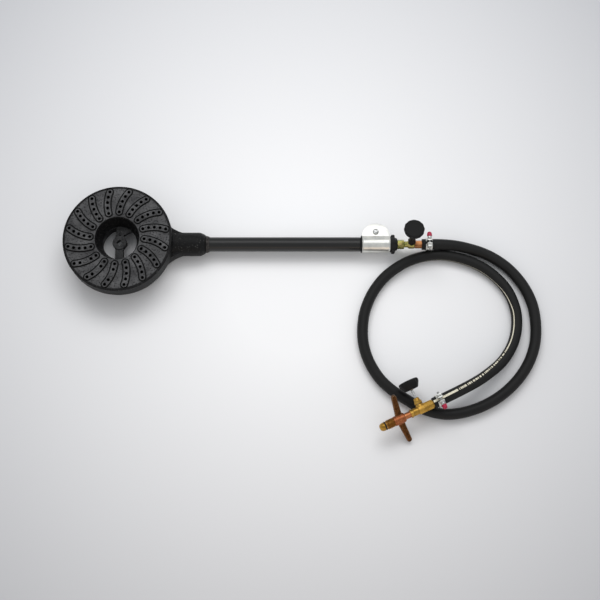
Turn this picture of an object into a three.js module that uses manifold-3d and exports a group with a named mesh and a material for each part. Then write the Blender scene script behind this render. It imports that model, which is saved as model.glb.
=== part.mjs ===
// Ring burner head on a pipe arm, with an air shutter, a needle valve and a
// rubber gas hose that ends in a second needle valve and a wing-nut cylinder fitting.
// Millimetres, +X along the arm from the head to the hose, +Z up, z = 0 on the ground.

import * as THREE from 'three';
import { mergeGeometries, mergeVertices } from 'three/addons/utils/BufferGeometryUtils.js';
import Module from 'manifold-3d';

const wasm = await Module();
wasm.setup();

// ---------- driving dimensions ----------

const gap = 0.3;                  // clearance between pieces that touch in reality

// burner head
const headRadius = 79.5;
const headHeight = 50;
const rimHeight = 24;             // straight outer wall below the plate
const baseRadius = 62;            // flat ring that the head stands on
const edgeRound = 2.2;
const openingTopRadius = 32;
const openingLowRadius = 25;
const openingBaseRadius = 28;
const bridgeTop = 26;
const bridgeThickness = 6;
const bridgeWidth = 12.5;
const bossRadius = 10.5;
const bossRise = 1.6;
const boltHoleSquare = 7;
const plateThickness = 5;
const wallThickness = 4;

// swirl of ports
const swirlCount = 16;
const portsPerSwirl = 5;
const portRadius = 1.9;
const portPitch = 8.45;
const firstPortRadius = 39.6;
const swirlBendRadius = 55;
const swirlStartAngle = -3.2;     // degrees, tangent of a swirl at its inner port
const swirlPhase = -2.4;          // degrees, direction of the first swirl
const ridgeHalfWidth = 4.7;
const ridgeRise = 1.2;

// arm
const armHeight = 18.5;
const armTubeRadius = 10.65;      // half-inch pipe
const armTubeWall = 2.3;
const socketRadius = 17.4;
const socketReach = 127;          // from the head's axis to the socket's mouth
const socketTaper = 8;
const socketMouthRadius = 13.4;
const tubeInsertion = 20;
const tubeExposed = 228;          // from the socket's mouth to the mixer
const weldWidth = 5;
const weldRise = 1.6;

// air mixer and shutter
const mixerLength = 44.5;
const mixerRadius = 11;
const mixerBore = 8;
const mixerSpigot = 12;
const mixerLip = 2.6;
const mixerLugRadius = 14;
const mixerEndLength = 10.5;
const shutterWall = 1;
const earReach = 32;              // from the arm's axis to the edge of the clamping ears
const earRadius = 19;
const earSpread = 20.4;            // half the ears' width, at their foot
const earGap = 2.4;
const windowLength = 22;
const windowWidth = 11;
const shutterScrewRadius = 2;
const shutterScrewReach = 19;
const shutterHeadRadius = 4.4;

// gas line
const nippleAcross = 12.6;
const nippleLength = 9.9;
const gasBore = 2.5;
const jetRadius = 4;
const jetReach = 16;
const jetHole = 0.6;
const bodyNeckLength = 6;
const bodyRadius = 6.3;
const bodyLength = 9;
const tailAcross = 10.8;
const tailLength = 10.5;
const barbRadius = 4.3;
const barbLength = 22;
const barbCount = 3;
const barbDepth = 0.6;
const endTailLength = 1.2;        // collar of the second tail, hidden by the hose

// needle valves
const stemRadius = 1.95;
const glandAcross = 11;
const packingHeight = 1.6;
const knobRadius = 15;
const knobHeight = 14;
const knobLobes = 12;
const knobFlute = 0.9;
const knobUnderRadius = 10.5;      // the knob tapers to this underneath
const knobTaper = 9;
const knobRecess = 4;
const knobEdge = 1.6;
const knobBore = 11;
const insertRadius = 3.6;
const insertFloor = 2;
const armValveLean = 10;          // degrees, towards +Y
const armGlandReach = 32;
const armKnobReach = 37;          // from the gas line's axis to the knob's underside
const endGlandReach = 17.7;
const endKnobReach = 30.5;
const endValveRise = 4;           // degrees above level
const armBossTop = 7.5;           // from the gas line's axis to the top of the valve's boss
const endBossTop = 8;
const armNeckRadius = 3.7;
const endNeckRadius = 4.2;
const glandFootHeight = 4.2;
const packingWall = 1.3;
const throatRadius = 1.1;

// hose and clamps
const hoseRadius = 8;
const hoseFacets = 8;
const hoseSteps = 52;
const bandWall = 1;
const bandWidth = 10;
const armBandSetback = 5.2;         // bare hose between its end and the clamp
const endBandSetback = 5;
const straightBeyondClamp = 7;    // hose that stays straight past the second clamp
const clampEar = 7;
const clampScrewRadius = 1.7;
const clampScrewRise = 3.4;       // above the band
const clampSlit = 4;
const clampEarWall = 2.4;
const clampNutAcross = 6.4;
const clampNutWidth = 3.3;
const clampHeadHeight = 2;
const clampShankEnd = 11;
const capPegRadius = 2;
const capPegEnd = 13;
const capRadius = 3.8;
const capLength = 7;
const capStandoff = 2.2;          // bare peg between the screw's head and the cap

// cylinder fitting
const fittingHeight = 27;
const fittingYaw = 205;           // degrees, direction of its nose in plan
const teeAcross = 13;
const teeBack = 18;               // from the branch to the hose end
const teeFront = 12;
const collarLength = 4.4;
const collarRadius = 6.2;
const spindleRadius = 4.65;
const spindleBore = 2.6;
const wingHubRadius = 7;
const wingHubLength = 17;
const wingThreadRadius = 6.9;
const wingThreadLength = 12.4;
const wingThreads = 5;
const wingThreadDepth = 0.9;
const wingReach = 40;
const wingSweep = 5;              // degrees, towards the hose
const wingRoll = 36;              // degrees, resting angle
const wingRootWidth = 9.6;
const wingTipWidth = 7.2;
const wingThickness = 5;
const wingEdge = 0.9;
const spindleBare = 9;            // tube seen between collar and wing nut
const noseRadius = 6;
const noseLength = 9.4;
const noseHole = 1.9;

// hand-laid route of the hose, measured from the head's axis on the ground
const hoseRoute = [
  [462, 0, 18.5],
  [478, 0, 17.6],
  [498, -1.3, 15.2],
  [519, -5, 11.6],
  [539, -11, 8.9],
  [558, -21, 8.1],
  [577.5, -37, 8.1],
  [595.5, -60.5, 8.1],
  [607.5, -89, 8.1],
  [611.8, -121, 8.1],
  [607, -153, 8.1],
  [593.5, -184, 8.1],
  [571, -211.5, 8.1],
  [542, -233, 8.1],
  [508, -247, 8.1],
  [474, -251.5, 8.1],
  [442, -243.5, 8.1],
  [419.5, -230.5, 8.1],
  [398, -216, 8.1],
  [380, -198, 8.1],
  [366, -174, 8.1],
  [358.6, -148.5, 8.1],
  [357.8, -121.5, 8.1],
  [363, -94.5, 8.1],
  [376, -67, 8.1],
  [397.5, -42, 8.1],
  [431, -21.3, 8.1],
  [470, -13.3, 8.1],
  [508, -19.6, 8.1],
  [543, -36.8, 8.1],
  [569.5, -64, 8.1],
  [581.8, -94, 8.1],
  [583, -122, 8.2],
  [575.5, -149.5, 9.6],
  [558.5, -175.5, 13],
  [534, -196.5, 18.2],
  [509.5, -212, 23.2],
];

// ---------- values worked out from them ----------

const radians = THREE.MathUtils.degToRad;
const socketMouth = socketReach;
const mixerStart = socketMouth + tubeExposed;
const shutterStart = mixerStart + mixerLip + gap;
const mixerEnd = mixerStart + mixerLength + mixerEndLength;
const shutterEnd = mixerStart + mixerLength - gap;
const shutterRadius = mixerRadius + gap + shutterWall;
const nippleStart = mixerEnd + gap;
const valveNeckStart = nippleStart + nippleLength + gap;
const valveCentre = valveNeckStart + bodyNeckLength + bodyLength / 2;
const tailStart = valveCentre + bodyLength / 2 + gap;
const hoseStart = tailStart + tailLength + gap;
const clampCentre = hoseStart + armBandSetback + bandWidth / 2;
const bandRadius = hoseRadius + gap + bandWall;
const clampScrewHeight = bandRadius + clampScrewRise;
const clampEarOuter = clampSlit / 2 + clampEarWall;
const burnerReach = Math.max(clampCentre + bandWidth / 2, tailStart + tailLength + barbLength);
const headX = -(burnerReach - headRadius) / 2;
const fittingDirection = new THREE.Vector3(1, 0, 0).applyAxisAngle(
  new THREE.Vector3(0, 0, 1),
  radians(fittingYaw),
);
const fittingPlace = new THREE.Vector3(437.7, -247.1, fittingHeight);
const hoseEndSetback = teeBack + gap + endTailLength + gap;
const hoseEnd = fittingPlace.clone().addScaledVector(fittingDirection, -hoseEndSetback);
const hoseStraight = hoseEnd.clone().addScaledVector(
  fittingDirection,
  -endBandSetback - bandWidth - straightBeyondClamp,
);

// ---------- materials ----------

function finish(color, roughness, metalness) {
  return new THREE.MeshStandardMaterial({ color, roughness, metalness });
}

const castIron = () => finish(0x3b3b3b, 0.8, 0.3);
const blackPaint = () => finish(0x141415, 0.35, 0.1);
const blackPlastic = () => finish(0x161616, 0.6, 0);
const zincSheet = () => finish(0xd6d8da, 0.28, 1);
const yellowZinc = () => finish(0xa8a04e, 0.4, 1);
const brass = () => finish(0xc39a3f, 0.3, 1);
const copperBronze = () => finish(0xb06a3c, 0.35, 1);
const blackOxide = () => finish(0x2a2624, 0.5, 0.6);
const rubber = () => finish(0x1a1a1a, 0.85, 0);
const redPlastic = () => finish(0xa3172f, 0.4, 0);

// ---------- geometry helpers ----------

// Welds a geometry's vertices, drops collapsed triangles and turns its faces outward.
function toSolid(geometry) {
  const plain = geometry.clone();
  plain.deleteAttribute('normal');
  plain.deleteAttribute('uv');
  const welded = mergeVertices(plain, 1e-4);
  const positions = welded.attributes.position.array;
  const triangles = [];
  let volume = 0;
  for (let i = 0; i < welded.index.count; i += 3) {
    const corners = [0, 1, 2].map((k) => welded.index.getX(i + k));
    if (new Set(corners).size === 3) {
      const [a, b, c] = corners.map((n) => new THREE.Vector3().fromArray(positions, 3 * n));
      volume += a.dot(b.cross(c));
      triangles.push(corners);
    }
  }
  if (volume < 0) {
    triangles.forEach((corners) => corners.reverse());
  }
  return new wasm.Manifold(new wasm.Mesh({
    numProp: 3,
    vertProperties: new Float32Array(positions),
    triVerts: new Uint32Array(triangles.flat()),
  }));
}

function toGeometry(solid) {
  const mesh = solid.getMesh();
  const geometry = new THREE.BufferGeometry();
  geometry.setAttribute('position', new THREE.BufferAttribute(mesh.vertProperties, 3));
  geometry.setIndex(new THREE.BufferAttribute(mesh.triVerts, 1));
  geometry.computeVertexNormals();
  return geometry;
}

function addPiece(group, name, solid, material) {
  const mesh = new THREE.Mesh(toGeometry(solid), material);
  mesh.name = name;
  group.add(mesh);
  return mesh;
}

// A turned shape about +X; the profile lists [distance along X, radius].
function turnedX(profile, segments = 20) {
  const points = profile.map(([along, radius]) => new THREE.Vector2(radius, along));
  const geometry = new THREE.LatheGeometry(points, segments);
  geometry.rotateZ(-Math.PI / 2);
  return toSolid(geometry);
}

// The same about +Z.
function turnedZ(profile, segments = 20) {
  const points = profile.map(([along, radius]) => new THREE.Vector2(radius, along));
  const geometry = new THREE.LatheGeometry(points, segments);
  geometry.rotateX(Math.PI / 2);
  return toSolid(geometry);
}

function rod(start, end, radius) {
  return [[start, 0], [start, radius], [end, radius], [end, 0]];
}

function sleeve(start, end, inner, outer) {
  return [[start, inner], [start, outer], [end, outer], [end, inner], [start, inner]];
}

function boxSolid(low, high) {
  const size = high.map((value, i) => value - low[i]);
  const geometry = new THREE.BoxGeometry(...size);
  geometry.translate(...low.map((value, i) => value + size[i] / 2));
  return toSolid(geometry);
}

// A prism along +Z over a closed outline.
function prism(shape, start, end) {
  const geometry = new THREE.ExtrudeGeometry(shape, {
    depth: end - start,
    bevelEnabled: false,
    curveSegments: 8,
  });
  geometry.translate(0, 0, start);
  return toSolid(geometry);
}

// A hexagonal bar along +X, and the same along +Z.
function hexBar(across, start, end) {
  const corner = across / Math.sqrt(3);
  const geometry = new THREE.CylinderGeometry(corner, corner, end - start, 6);
  geometry.rotateZ(-Math.PI / 2);
  geometry.translate((start + end) / 2, 0, 0);
  return toSolid(geometry);
}

function hexUpright(across, start, end) {
  const corner = across / Math.sqrt(3);
  const geometry = new THREE.CylinderGeometry(corner, corner, end - start, 6);
  geometry.rotateX(Math.PI / 2);
  geometry.translate(0, 0, (start + end) / 2);
  return toSolid(geometry);
}

// ---------- burner head ----------

// Centre of one port, or any point along a swirl's middle line.
function swirlPoint(along) {
  const turn = along / swirlBendRadius;
  const start = radians(swirlStartAngle);
  const centre = new THREE.Vector2(
    firstPortRadius + swirlBendRadius * Math.sin(start),
    -swirlBendRadius * Math.cos(start),
  );
  const spoke = start - turn + Math.PI / 2;
  return new THREE.Vector2(Math.cos(spoke), Math.sin(spoke)).multiplyScalar(swirlBendRadius).add(centre);
}

function swirlAngle(index) {
  return radians(swirlPhase + (360 / swirlCount) * index);
}

function portDrills() {
  const drills = [];
  for (let swirl = 0; swirl < swirlCount; swirl += 1) {
    for (let port = 0; port < portsPerSwirl; port += 1) {
      const place = swirlPoint(port * portPitch).rotateAround(new THREE.Vector2(), swirlAngle(swirl));
      const drill = new THREE.CylinderGeometry(portRadius, portRadius, plateThickness * 3, 6);
      drill.rotateX(Math.PI / 2);
      drill.translate(place.x, place.y, headHeight - plateThickness / 2);
      drills.push(drill);
    }
  }
  return toSolid(mergeGeometries(drills));
}

// Raised pad that carries one swirl of ports: an arc-shaped strip with round ends.
function ridgeShape() {
  const reach = (portsPerSwirl - 1) * portPitch;
  const outline = [];
  const sideSteps = 4;
  const endSteps = 4;
  const step = (along, side) => {
    const here = swirlPoint(along);
    const turn = radians(swirlStartAngle) - along / swirlBendRadius;
    outline.push(new THREE.Vector2(
      here.x - side * ridgeHalfWidth * Math.sin(turn),
      here.y + side * ridgeHalfWidth * Math.cos(turn),
    ));
  };
  const cap = (along, from) => {
    const here = swirlPoint(along);
    const turn = radians(swirlStartAngle) - along / swirlBendRadius;
    for (let i = 1; i < endSteps; i += 1) {
      const angle = turn + from - (Math.PI * i) / endSteps;
      outline.push(new THREE.Vector2(
        here.x + ridgeHalfWidth * Math.cos(angle),
        here.y + ridgeHalfWidth * Math.sin(angle),
      ));
    }
  };
  for (let i = 0; i <= sideSteps; i += 1) {
    step((reach * i) / sideSteps, 1);
  }
  cap(reach, Math.PI / 2);
  for (let i = sideSteps; i >= 0; i -= 1) {
    step((reach * i) / sideSteps, -1);
  }
  cap(0, -Math.PI / 2);
  return new THREE.Shape(outline);
}

function ridges() {
  const shape = ridgeShape();
  const pads = [];
  for (let swirl = 0; swirl < swirlCount; swirl += 1) {
    const pad = new THREE.ExtrudeGeometry(shape, { depth: ridgeRise + 1, bevelEnabled: false });
    pad.translate(0, 0, headHeight - 1);
    pad.rotateZ(swirlAngle(swirl));
    pads.push(pad);
  }
  return toSolid(mergeGeometries(pads));
}

function headShell() {
  const rimLow = headHeight - rimHeight;
  const bridgeLow = bridgeTop - bridgeThickness;
  const shoulder = headRadius - baseRadius;
  return turnedZ([
    [0, openingBaseRadius],
    [0, baseRadius],
    [rimLow * 0.28, baseRadius + shoulder * 0.55],
    [rimLow * 0.62, baseRadius + shoulder * 0.86],
    [rimLow, headRadius],
    [headHeight - edgeRound, headRadius],
    [headHeight - edgeRound * 0.3, headRadius - edgeRound * 0.3],
    [headHeight, headRadius - edgeRound],
    [headHeight, openingTopRadius + 1],
    [headHeight - 1, openingTopRadius],
    [bridgeTop, openingLowRadius],
    [bridgeLow, openingLowRadius],
    [0, openingBaseRadius],
  ], 56);
}

function plenum() {
  const rimLow = headHeight - rimHeight;
  const bridgeLow = bridgeTop - bridgeThickness;
  const shoulder = headRadius - baseRadius;
  const roof = headHeight - plateThickness;
  return turnedZ([
    [wallThickness, openingBaseRadius + wallThickness],
    [wallThickness, baseRadius - 2],
    [rimLow * 0.4, baseRadius + shoulder * 0.5 - wallThickness / 2],
    [rimLow, headRadius - wallThickness],
    [roof, headRadius - wallThickness],
    [roof, openingTopRadius + wallThickness],
    [bridgeTop, openingLowRadius + wallThickness],
    [bridgeLow, openingLowRadius + wallThickness],
    [wallThickness, openingBaseRadius + wallThickness],
  ], 28);
}

// Bar across the middle opening, with the boss for the stand bolt and two corner webs.
function bridge() {
  const low = bridgeTop - bridgeThickness;
  const reach = openingLowRadius + wallThickness / 2;
  let solid = boxSolid([-bridgeWidth / 2, -reach, low], [bridgeWidth / 2, reach, bridgeTop]);
  solid = solid.add(turnedZ(rod(low - bossRise, bridgeTop + bossRise, bossRadius), 24));
  const pip = turnedZ(rod(bridgeTop - 1, bridgeTop + 1, 2.2), 12);
  solid = solid.add(pip.translate([0, bossRadius + 2.6, 0]));
  const chordDistance = openingLowRadius * 0.79;
  const chord = boxSolid([chordDistance, -reach * 0.7, low], [reach, reach * 0.7, bridgeTop]);
  const disc = turnedZ(rod(low, bridgeTop, reach), 32);
  solid = solid.add(chord.rotate([0, 0, 136]).intersect(disc));
  const gusset = new THREE.Shape([
    new THREE.Vector2(bridgeWidth / 2 - 1, bossRadius + 1.2),
    new THREE.Vector2(openingLowRadius * 0.72, openingLowRadius * 0.72),
    new THREE.Vector2(openingLowRadius * 0.6, openingLowRadius * 0.86),
    new THREE.Vector2(bridgeWidth / 2 - 1, openingLowRadius),
  ]);
  solid = solid.add(prism(gusset, low, bridgeTop));
  const hole = boxSolid(
    [-boltHoleSquare / 2, -boltHoleSquare / 2, 0],
    [boltHoleSquare / 2, boltHoleSquare / 2, headHeight],
  );
  return solid.subtract(hole.rotate([0, 0, 45]));
}

// Socket that holds the arm, flared where it meets the rim.
function socket() {
  const root = headRadius - 6;
  return turnedX([
    [openingLowRadius + wallThickness + 8, 0],
    [openingLowRadius + wallThickness + 8, 12],
    [root - 8, socketRadius],
    [headRadius - 2, socketRadius + 0.9],
    [headRadius + 3, socketRadius + 0.4],
    [headRadius + 8, socketRadius],
    [socketMouth - socketTaper, socketRadius],
    [socketMouth, socketMouthRadius],
    [socketMouth, 0],
  ], 28).translate([0, 0, armHeight]);
}

function socketFlare() {
  const flare = new THREE.Shape();
  const rootX = headRadius * 0.86;
  const rootY = socketRadius + 13;
  const tipX = headRadius + 14;
  flare.moveTo(rootX, -rootY);
  flare.quadraticCurveTo(headRadius - 1, -socketRadius - 2, tipX, -socketRadius + 1.2);
  flare.lineTo(tipX, socketRadius - 1.2);
  flare.quadraticCurveTo(headRadius - 1, socketRadius + 2, rootX, rootY);
  return prism(flare, armHeight - 10, armHeight + 9);
}

function burnerHead() {
  const boreStart = openingLowRadius + wallThickness + 4;
  const ridgeTop = headHeight + ridgeRise;
  const neck = socket().add(socketFlare()).subtract(boxSolid([-100, -60, ridgeTop], [200, 60, 100]));
  const cavity = plenum();
  const middle = turnedZ([
    [-1, 0],
    [-1, openingBaseRadius + 1],
    [bridgeTop, openingLowRadius + 1],
    [headHeight + 2, openingTopRadius + 1],
    [headHeight + 2, 0],
  ], 48);
  let solid = headShell().add(neck.subtract(middle));
  solid = solid.subtract(cavity);
  solid = solid.add(ridges()).add(bridge());
  solid = solid.subtract(portDrills());
  const gasWay = turnedX(rod(boreStart + 6, socketMouth + 1, armTubeRadius - armTubeWall), 24);
  const seat = turnedX(rod(socketMouth - tubeInsertion - gap, socketMouth + 1, armTubeRadius + gap), 32);
  return solid.subtract(gasWay.add(seat).translate([0, 0, armHeight]));
}

// ---------- arm ----------

function armTube() {
  return turnedX(sleeve(
    socketMouth - tubeInsertion,
    mixerStart - gap,
    armTubeRadius - armTubeWall,
    armTubeRadius,
  ));
}

function socketWeld() {
  const inner = armTubeRadius + gap;
  const start = socketMouth + gap;
  return turnedX([
    [start, inner],
    [start, inner + weldRise + 0.6],
    [start + weldWidth * 0.45, inner + weldRise],
    [start + weldWidth, inner + 0.3],
    [start + weldWidth, inner],
    [start, inner],
  ]);
}

// ---------- air mixer and shutter ----------

function airWindow(depthStart) {
  const middle = (shutterStart + shutterEnd) / 2;
  return boxSolid(
    [middle - windowLength / 2, -windowWidth / 2, -shutterRadius - 2],
    [middle + windowLength / 2, windowWidth / 2, depthStart],
  );
}

function mixerBody() {
  const spigotRadius = armTubeRadius - armTubeWall - gap;
  const wallStart = mixerStart + mixerLength - 2;
  let solid = turnedX([
    [mixerStart - mixerSpigot, spigotRadius - 1.6],
    [mixerStart - mixerSpigot, spigotRadius],
    [mixerStart, spigotRadius],
    [mixerStart, shutterRadius + 0.8],
    [mixerStart + mixerLip, shutterRadius + 0.8],
    [mixerStart + mixerLip, mixerRadius],
    [mixerStart + mixerLength, mixerRadius],
    [mixerStart + mixerLength, mixerRadius + 0.6],
    [mixerEnd - 3, mixerRadius - 1.2],
    [mixerEnd, mixerRadius - 2.4],
    [mixerEnd, jetRadius + gap],
    [wallStart, jetRadius + gap],
    [wallStart, mixerBore],
    [mixerStart + 4, mixerBore],
    [mixerStart - 2, spigotRadius - 1.6],
    [mixerStart - mixerSpigot, spigotRadius - 1.6],
  ]);
  solid = solid.subtract(airWindow(-mixerBore + 3));
  const lugLow = mixerStart + mixerLength + 1;
  const lugs = boxSolid([lugLow, -mixerLugRadius, -5], [lugLow + 6, mixerLugRadius, 5]);
  const lugBore = turnedX(rod(lugLow - 1, lugLow + 7, mixerRadius - 2), 24);
  return solid.add(lugs.subtract(lugBore));
}

// Sheet band round the mixer, its two ends turned out as half-round ears.
function airShutter() {
  const inner = mixerRadius + gap;
  const middle = (shutterStart + shutterEnd) / 2;
  const earCentre = earReach - earRadius;
  const ears = new THREE.Shape();
  ears.moveTo(middle - earSpread, inner - 2);
  ears.lineTo(middle - earSpread, earCentre);
  ears.absellipse(middle, earCentre, earSpread, earRadius, Math.PI, 0, true);
  ears.lineTo(middle + earSpread, inner - 2);
  const plate = prism(ears, -earGap / 2 - shutterWall, earGap / 2 + shutterWall);
  const hollow = turnedX(rod(shutterStart - 1, shutterEnd + 1, inner));
  const split = boxSolid([shutterStart - 1, 0, -earGap / 2], [shutterEnd + 1, earReach + 1, earGap / 2]);
  const hole = turnedZ(rod(-10, 10, shutterScrewRadius + gap), 20);
  const band = turnedX(rod(shutterStart, shutterEnd, shutterRadius), 28);
  return band.add(plate)
    .subtract(hollow)
    .subtract(split)
    .subtract(airWindow(0))
    .subtract(hole.translate([middle, shutterScrewReach, 0]));
}

function shutterScrew() {
  const seat = earGap / 2 + shutterWall + gap;
  return turnedZ([
    [-seat - 5, 0],
    [-seat - 5, shutterScrewRadius],
    [seat, shutterScrewRadius],
    [seat, shutterHeadRadius],
    [seat + 1.4, shutterHeadRadius],
    [seat + 2.6, shutterHeadRadius * 0.6],
    [seat + 2.6, 0],
  ], 24).subtract(boxSolid([-6, -0.5, seat + 1.6], [6, 0.5, seat + 4]));
}

function shutterNut() {
  const seat = earGap / 2 + shutterWall + gap;
  const nut = hexUpright(shutterScrewRadius * 3.6, -seat - 3, -seat);
  return nut.subtract(turnedZ(rod(-seat - 4, -seat + 1, shutterScrewRadius + gap), 20));
}

// ---------- gas line ----------

function gasJet() {
  const end = mixerEnd - gap;
  return turnedX([
    [end - jetReach, jetHole],
    [end - jetReach, 1.6],
    [end - jetReach + 3, jetRadius * 0.8],
    [end, jetRadius],
    [end, gasBore],
    [end - jetReach + 4, gasBore],
    [end - jetReach + 2.5, jetHole],
    [end - jetReach, jetHole],
  ], 12);
}

function inletNipple() {
  const end = nippleStart + nippleLength;
  const bore = turnedX(rod(nippleStart - 1, end + 1, gasBore), 20);
  return hexBar(nippleAcross, nippleStart, end).subtract(bore);
}

// Hose tail: a hexagon with a barbed spigot along +X.
function hoseTail(hexLength) {
  const pitch = barbLength / barbCount;
  const profile = [[0, 0], [0, barbRadius - barbDepth]];
  for (let i = 0; i < barbCount; i += 1) {
    const from = hexLength + i * pitch;
    profile.push([from + 0.1, barbRadius]);
    profile.push([from + pitch, barbRadius - barbDepth]);
  }
  profile.push([hexLength + barbLength, 0]);
  const bore = turnedX(rod(-1, hexLength + barbLength + 1, gasBore), 10);
  return turnedX(profile, 16).add(hexBar(tailAcross, 0, hexLength)).subtract(bore);
}

// ---------- needle valve: stem along +Z ----------

// Bore for the stem and the gas way through the body, from back to front.
function valvePassages(back, front, bossTop) {
  const stemBore = turnedZ(rod(-stemRadius - 0.6, bossTop + 1, stemRadius + gap), 14);
  const wide = turnedX(rod(-back - 1, -stemRadius - 1.6, gasBore), 10)
    .add(turnedX(rod(stemRadius + 1.6, front + 1, gasBore), 10));
  return stemBore.add(wide).add(turnedX(rod(-back, front, throatRadius), 8));
}

function needleStem(top) {
  return turnedZ([
    [-1.6, 0],
    [-1.6, 0.7],
    [1.8, stemRadius],
    [top, stemRadius],
    [top, 0],
  ], 16);
}

function packingRing(bossTop) {
  return turnedZ(sleeve(
    bossTop + gap,
    bossTop + gap + packingHeight,
    stemRadius + gap,
    stemRadius + gap + packingWall,
  ), 20);
}

// Gland nut: a hexagon foot over the packing, then a round neck that tapers.
function gland(bossTop, reach, neckRadius) {
  const foot = bossTop + gap;
  const pocketTop = foot + packingHeight + gap;
  const pocketRadius = stemRadius + gap + packingWall + gap;
  const hexTop = foot + glandFootHeight;
  const neck = turnedZ([
    [hexTop - 0.5, 0],
    [hexTop - 0.5, neckRadius + 0.9],
    [reach - 1.5, neckRadius],
    [reach, neckRadius - 0.8],
    [reach, 0],
  ], 24);
  return hexUpright(glandAcross, foot, hexTop)
    .add(neck)
    .subtract(turnedZ(rod(foot - 1, pocketTop, pocketRadius), 14))
    .subtract(turnedZ(rod(foot, reach + 1, stemRadius + gap), 14));
}

function knobShape() {
  const outline = [];
  const steps = knobLobes * 4;
  for (let i = 0; i < steps; i += 1) {
    const angle = (2 * Math.PI * i) / steps;
    const dip = knobFlute * (0.5 - 0.5 * Math.cos(angle * knobLobes));
    const radius = knobRadius - dip;
    outline.push(new THREE.Vector2(radius * Math.cos(angle), radius * Math.sin(angle)));
  }
  return new THREE.Shape(outline);
}

// Fluted hand knob, tapered and hollow underneath round the hub that takes the insert.
function knob(reach) {
  const outside = new THREE.ExtrudeGeometry(knobShape(), {
    depth: knobHeight - 2 * knobEdge,
    bevelThickness: knobEdge,
    bevelSize: knobEdge,
    bevelOffset: -knobEdge,
    bevelSegments: 1,
  });
  outside.translate(0, 0, reach + knobEdge);
  const taper = turnedZ([
    [reach - 1, 0],
    [reach - 1, knobUnderRadius - 0.5],
    [reach + knobTaper, knobRadius + 0.1],
    [reach + knobHeight + 1, knobRadius + 0.1],
    [reach + knobHeight + 1, 0],
  ], 48);
  const recess = turnedZ(sleeve(reach - 1, reach + knobRecess, insertRadius + 2.4, knobUnderRadius - 2), 24);
  const bore = turnedZ(rod(reach - 1, reach + knobBore, insertRadius + gap), 16);
  return toSolid(outside).intersect(taper).subtract(recess).subtract(bore);
}

function knobInsert(reach) {
  const top = reach + knobBore - gap;
  return turnedZ([
    [reach, stemRadius + gap],
    [reach, insertRadius],
    [top, insertRadius],
    [top, 0],
    [top - insertFloor, 0],
    [top - insertFloor, stemRadius + gap],
    [reach, stemRadius + gap],
  ], 16);
}

function valveTop(group, suffix, sizes, glandFinish) {
  const { bossTop, glandReach, neckRadius, knobReach } = sizes;
  const stemTop = knobReach + knobBore - gap - insertFloor - gap;
  addPiece(group, `stem_packing_${suffix}`, packingRing(bossTop), rubber());
  addPiece(group, `gland_nut_${suffix}`, gland(bossTop, glandReach, neckRadius), glandFinish);
  addPiece(group, `needle_stem_${suffix}`, needleStem(stemTop), zincSheet());
  addPiece(group, `knob_${suffix}`, knob(knobReach), blackPlastic());
  addPiece(group, `knob_insert_${suffix}`, knobInsert(knobReach), brass());
}

// Body of the arm's valve: a round block with a threaded neck towards the mixer.
function armValveBody(bossTop) {
  const back = bodyLength / 2 + bodyNeckLength;
  const front = bodyLength / 2;
  const line = turnedX([
    [-back, 0],
    [-back, 4.5],
    [-front, 4.5],
    [-front + 0.8, bodyRadius],
    [front - 0.8, bodyRadius],
    [front, bodyRadius - 0.8],
    [front, 0],
  ], 16);
  const boss = turnedZ(rod(0, bossTop, 4.6), 24);
  return line.add(boss).subtract(valvePassages(back, front, bossTop));
}

// ---------- cylinder fitting: nose along +X, branch along +Z ----------

function teeBody(bossTop) {
  const line = hexBar(teeAcross, -teeBack, teeFront * 0.3).add(turnedX([
    [0, 0],
    [0, 5.6],
    [teeFront, 5.6],
    [teeFront, 0],
  ], 20));
  const boss = turnedZ([
    [0, 0],
    [0, 6.4],
    [bossTop - 2.5, 5.6],
    [bossTop, 4.9],
    [bossTop, 0],
  ], 24);
  return line.add(boss).subtract(valvePassages(teeBack, teeFront, bossTop));
}

function spindleCollar() {
  const start = teeFront + gap;
  return turnedX([
    [start, spindleRadius + gap],
    [start, collarRadius - 0.7],
    [start + collarLength * 0.5, collarRadius - 0.7],
    [start + collarLength * 0.5, collarRadius],
    [start + collarLength, collarRadius],
    [start + collarLength, spindleRadius + gap],
    [start, spindleRadius + gap],
  ], 16);
}

function wingStart() {
  return teeFront + gap + collarLength + spindleBare;
}

function noseStart() {
  return wingStart() + wingHubLength + wingThreadLength + gap;
}

function spindle() {
  return turnedX(sleeve(teeFront + gap, noseStart() - gap, spindleBore, spindleRadius), 20);
}

function spindleNose() {
  const start = noseStart();
  const end = start + noseLength;
  return turnedX([
    [start, noseHole],
    [start, noseRadius - 1.2],
    [start + 1.8, noseRadius - 1.2],
    [start + 1.8, noseRadius],
    [end - 4.2, noseRadius],
    [end - 1.6, noseRadius - 1],
    [end, noseRadius - 2.6],
    [end, noseHole],
    [start, noseHole],
  ], 16);
}

function noseSeal() {
  const start = noseStart() + 0.2;
  return turnedX(sleeve(start, start + 1.3, noseRadius - 1.2 + gap, noseRadius + 0.3), 20);
}

function wingArm() {
  const shape = new THREE.Shape();
  const root = wingRootWidth / 2;
  const tip = wingTipWidth / 2;
  shape.moveTo(-root, wingHubRadius - 2.5);
  shape.lineTo(-tip, wingReach - tip);
  shape.absarc(0, wingReach - tip, tip, Math.PI, 0, true);
  shape.lineTo(root, wingHubRadius - 2.5);
  const arm = new THREE.ExtrudeGeometry(shape, {
    depth: wingThickness - 2 * wingEdge,
    bevelThickness: wingEdge,
    bevelSize: wingEdge,
    bevelOffset: -wingEdge,
    bevelSegments: 1,
    curveSegments: 5,
  });
  arm.translate(0, 0, -wingThickness / 2 + wingEdge);
  return toSolid(arm).rotate([0, 0, wingSweep]);
}

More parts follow.
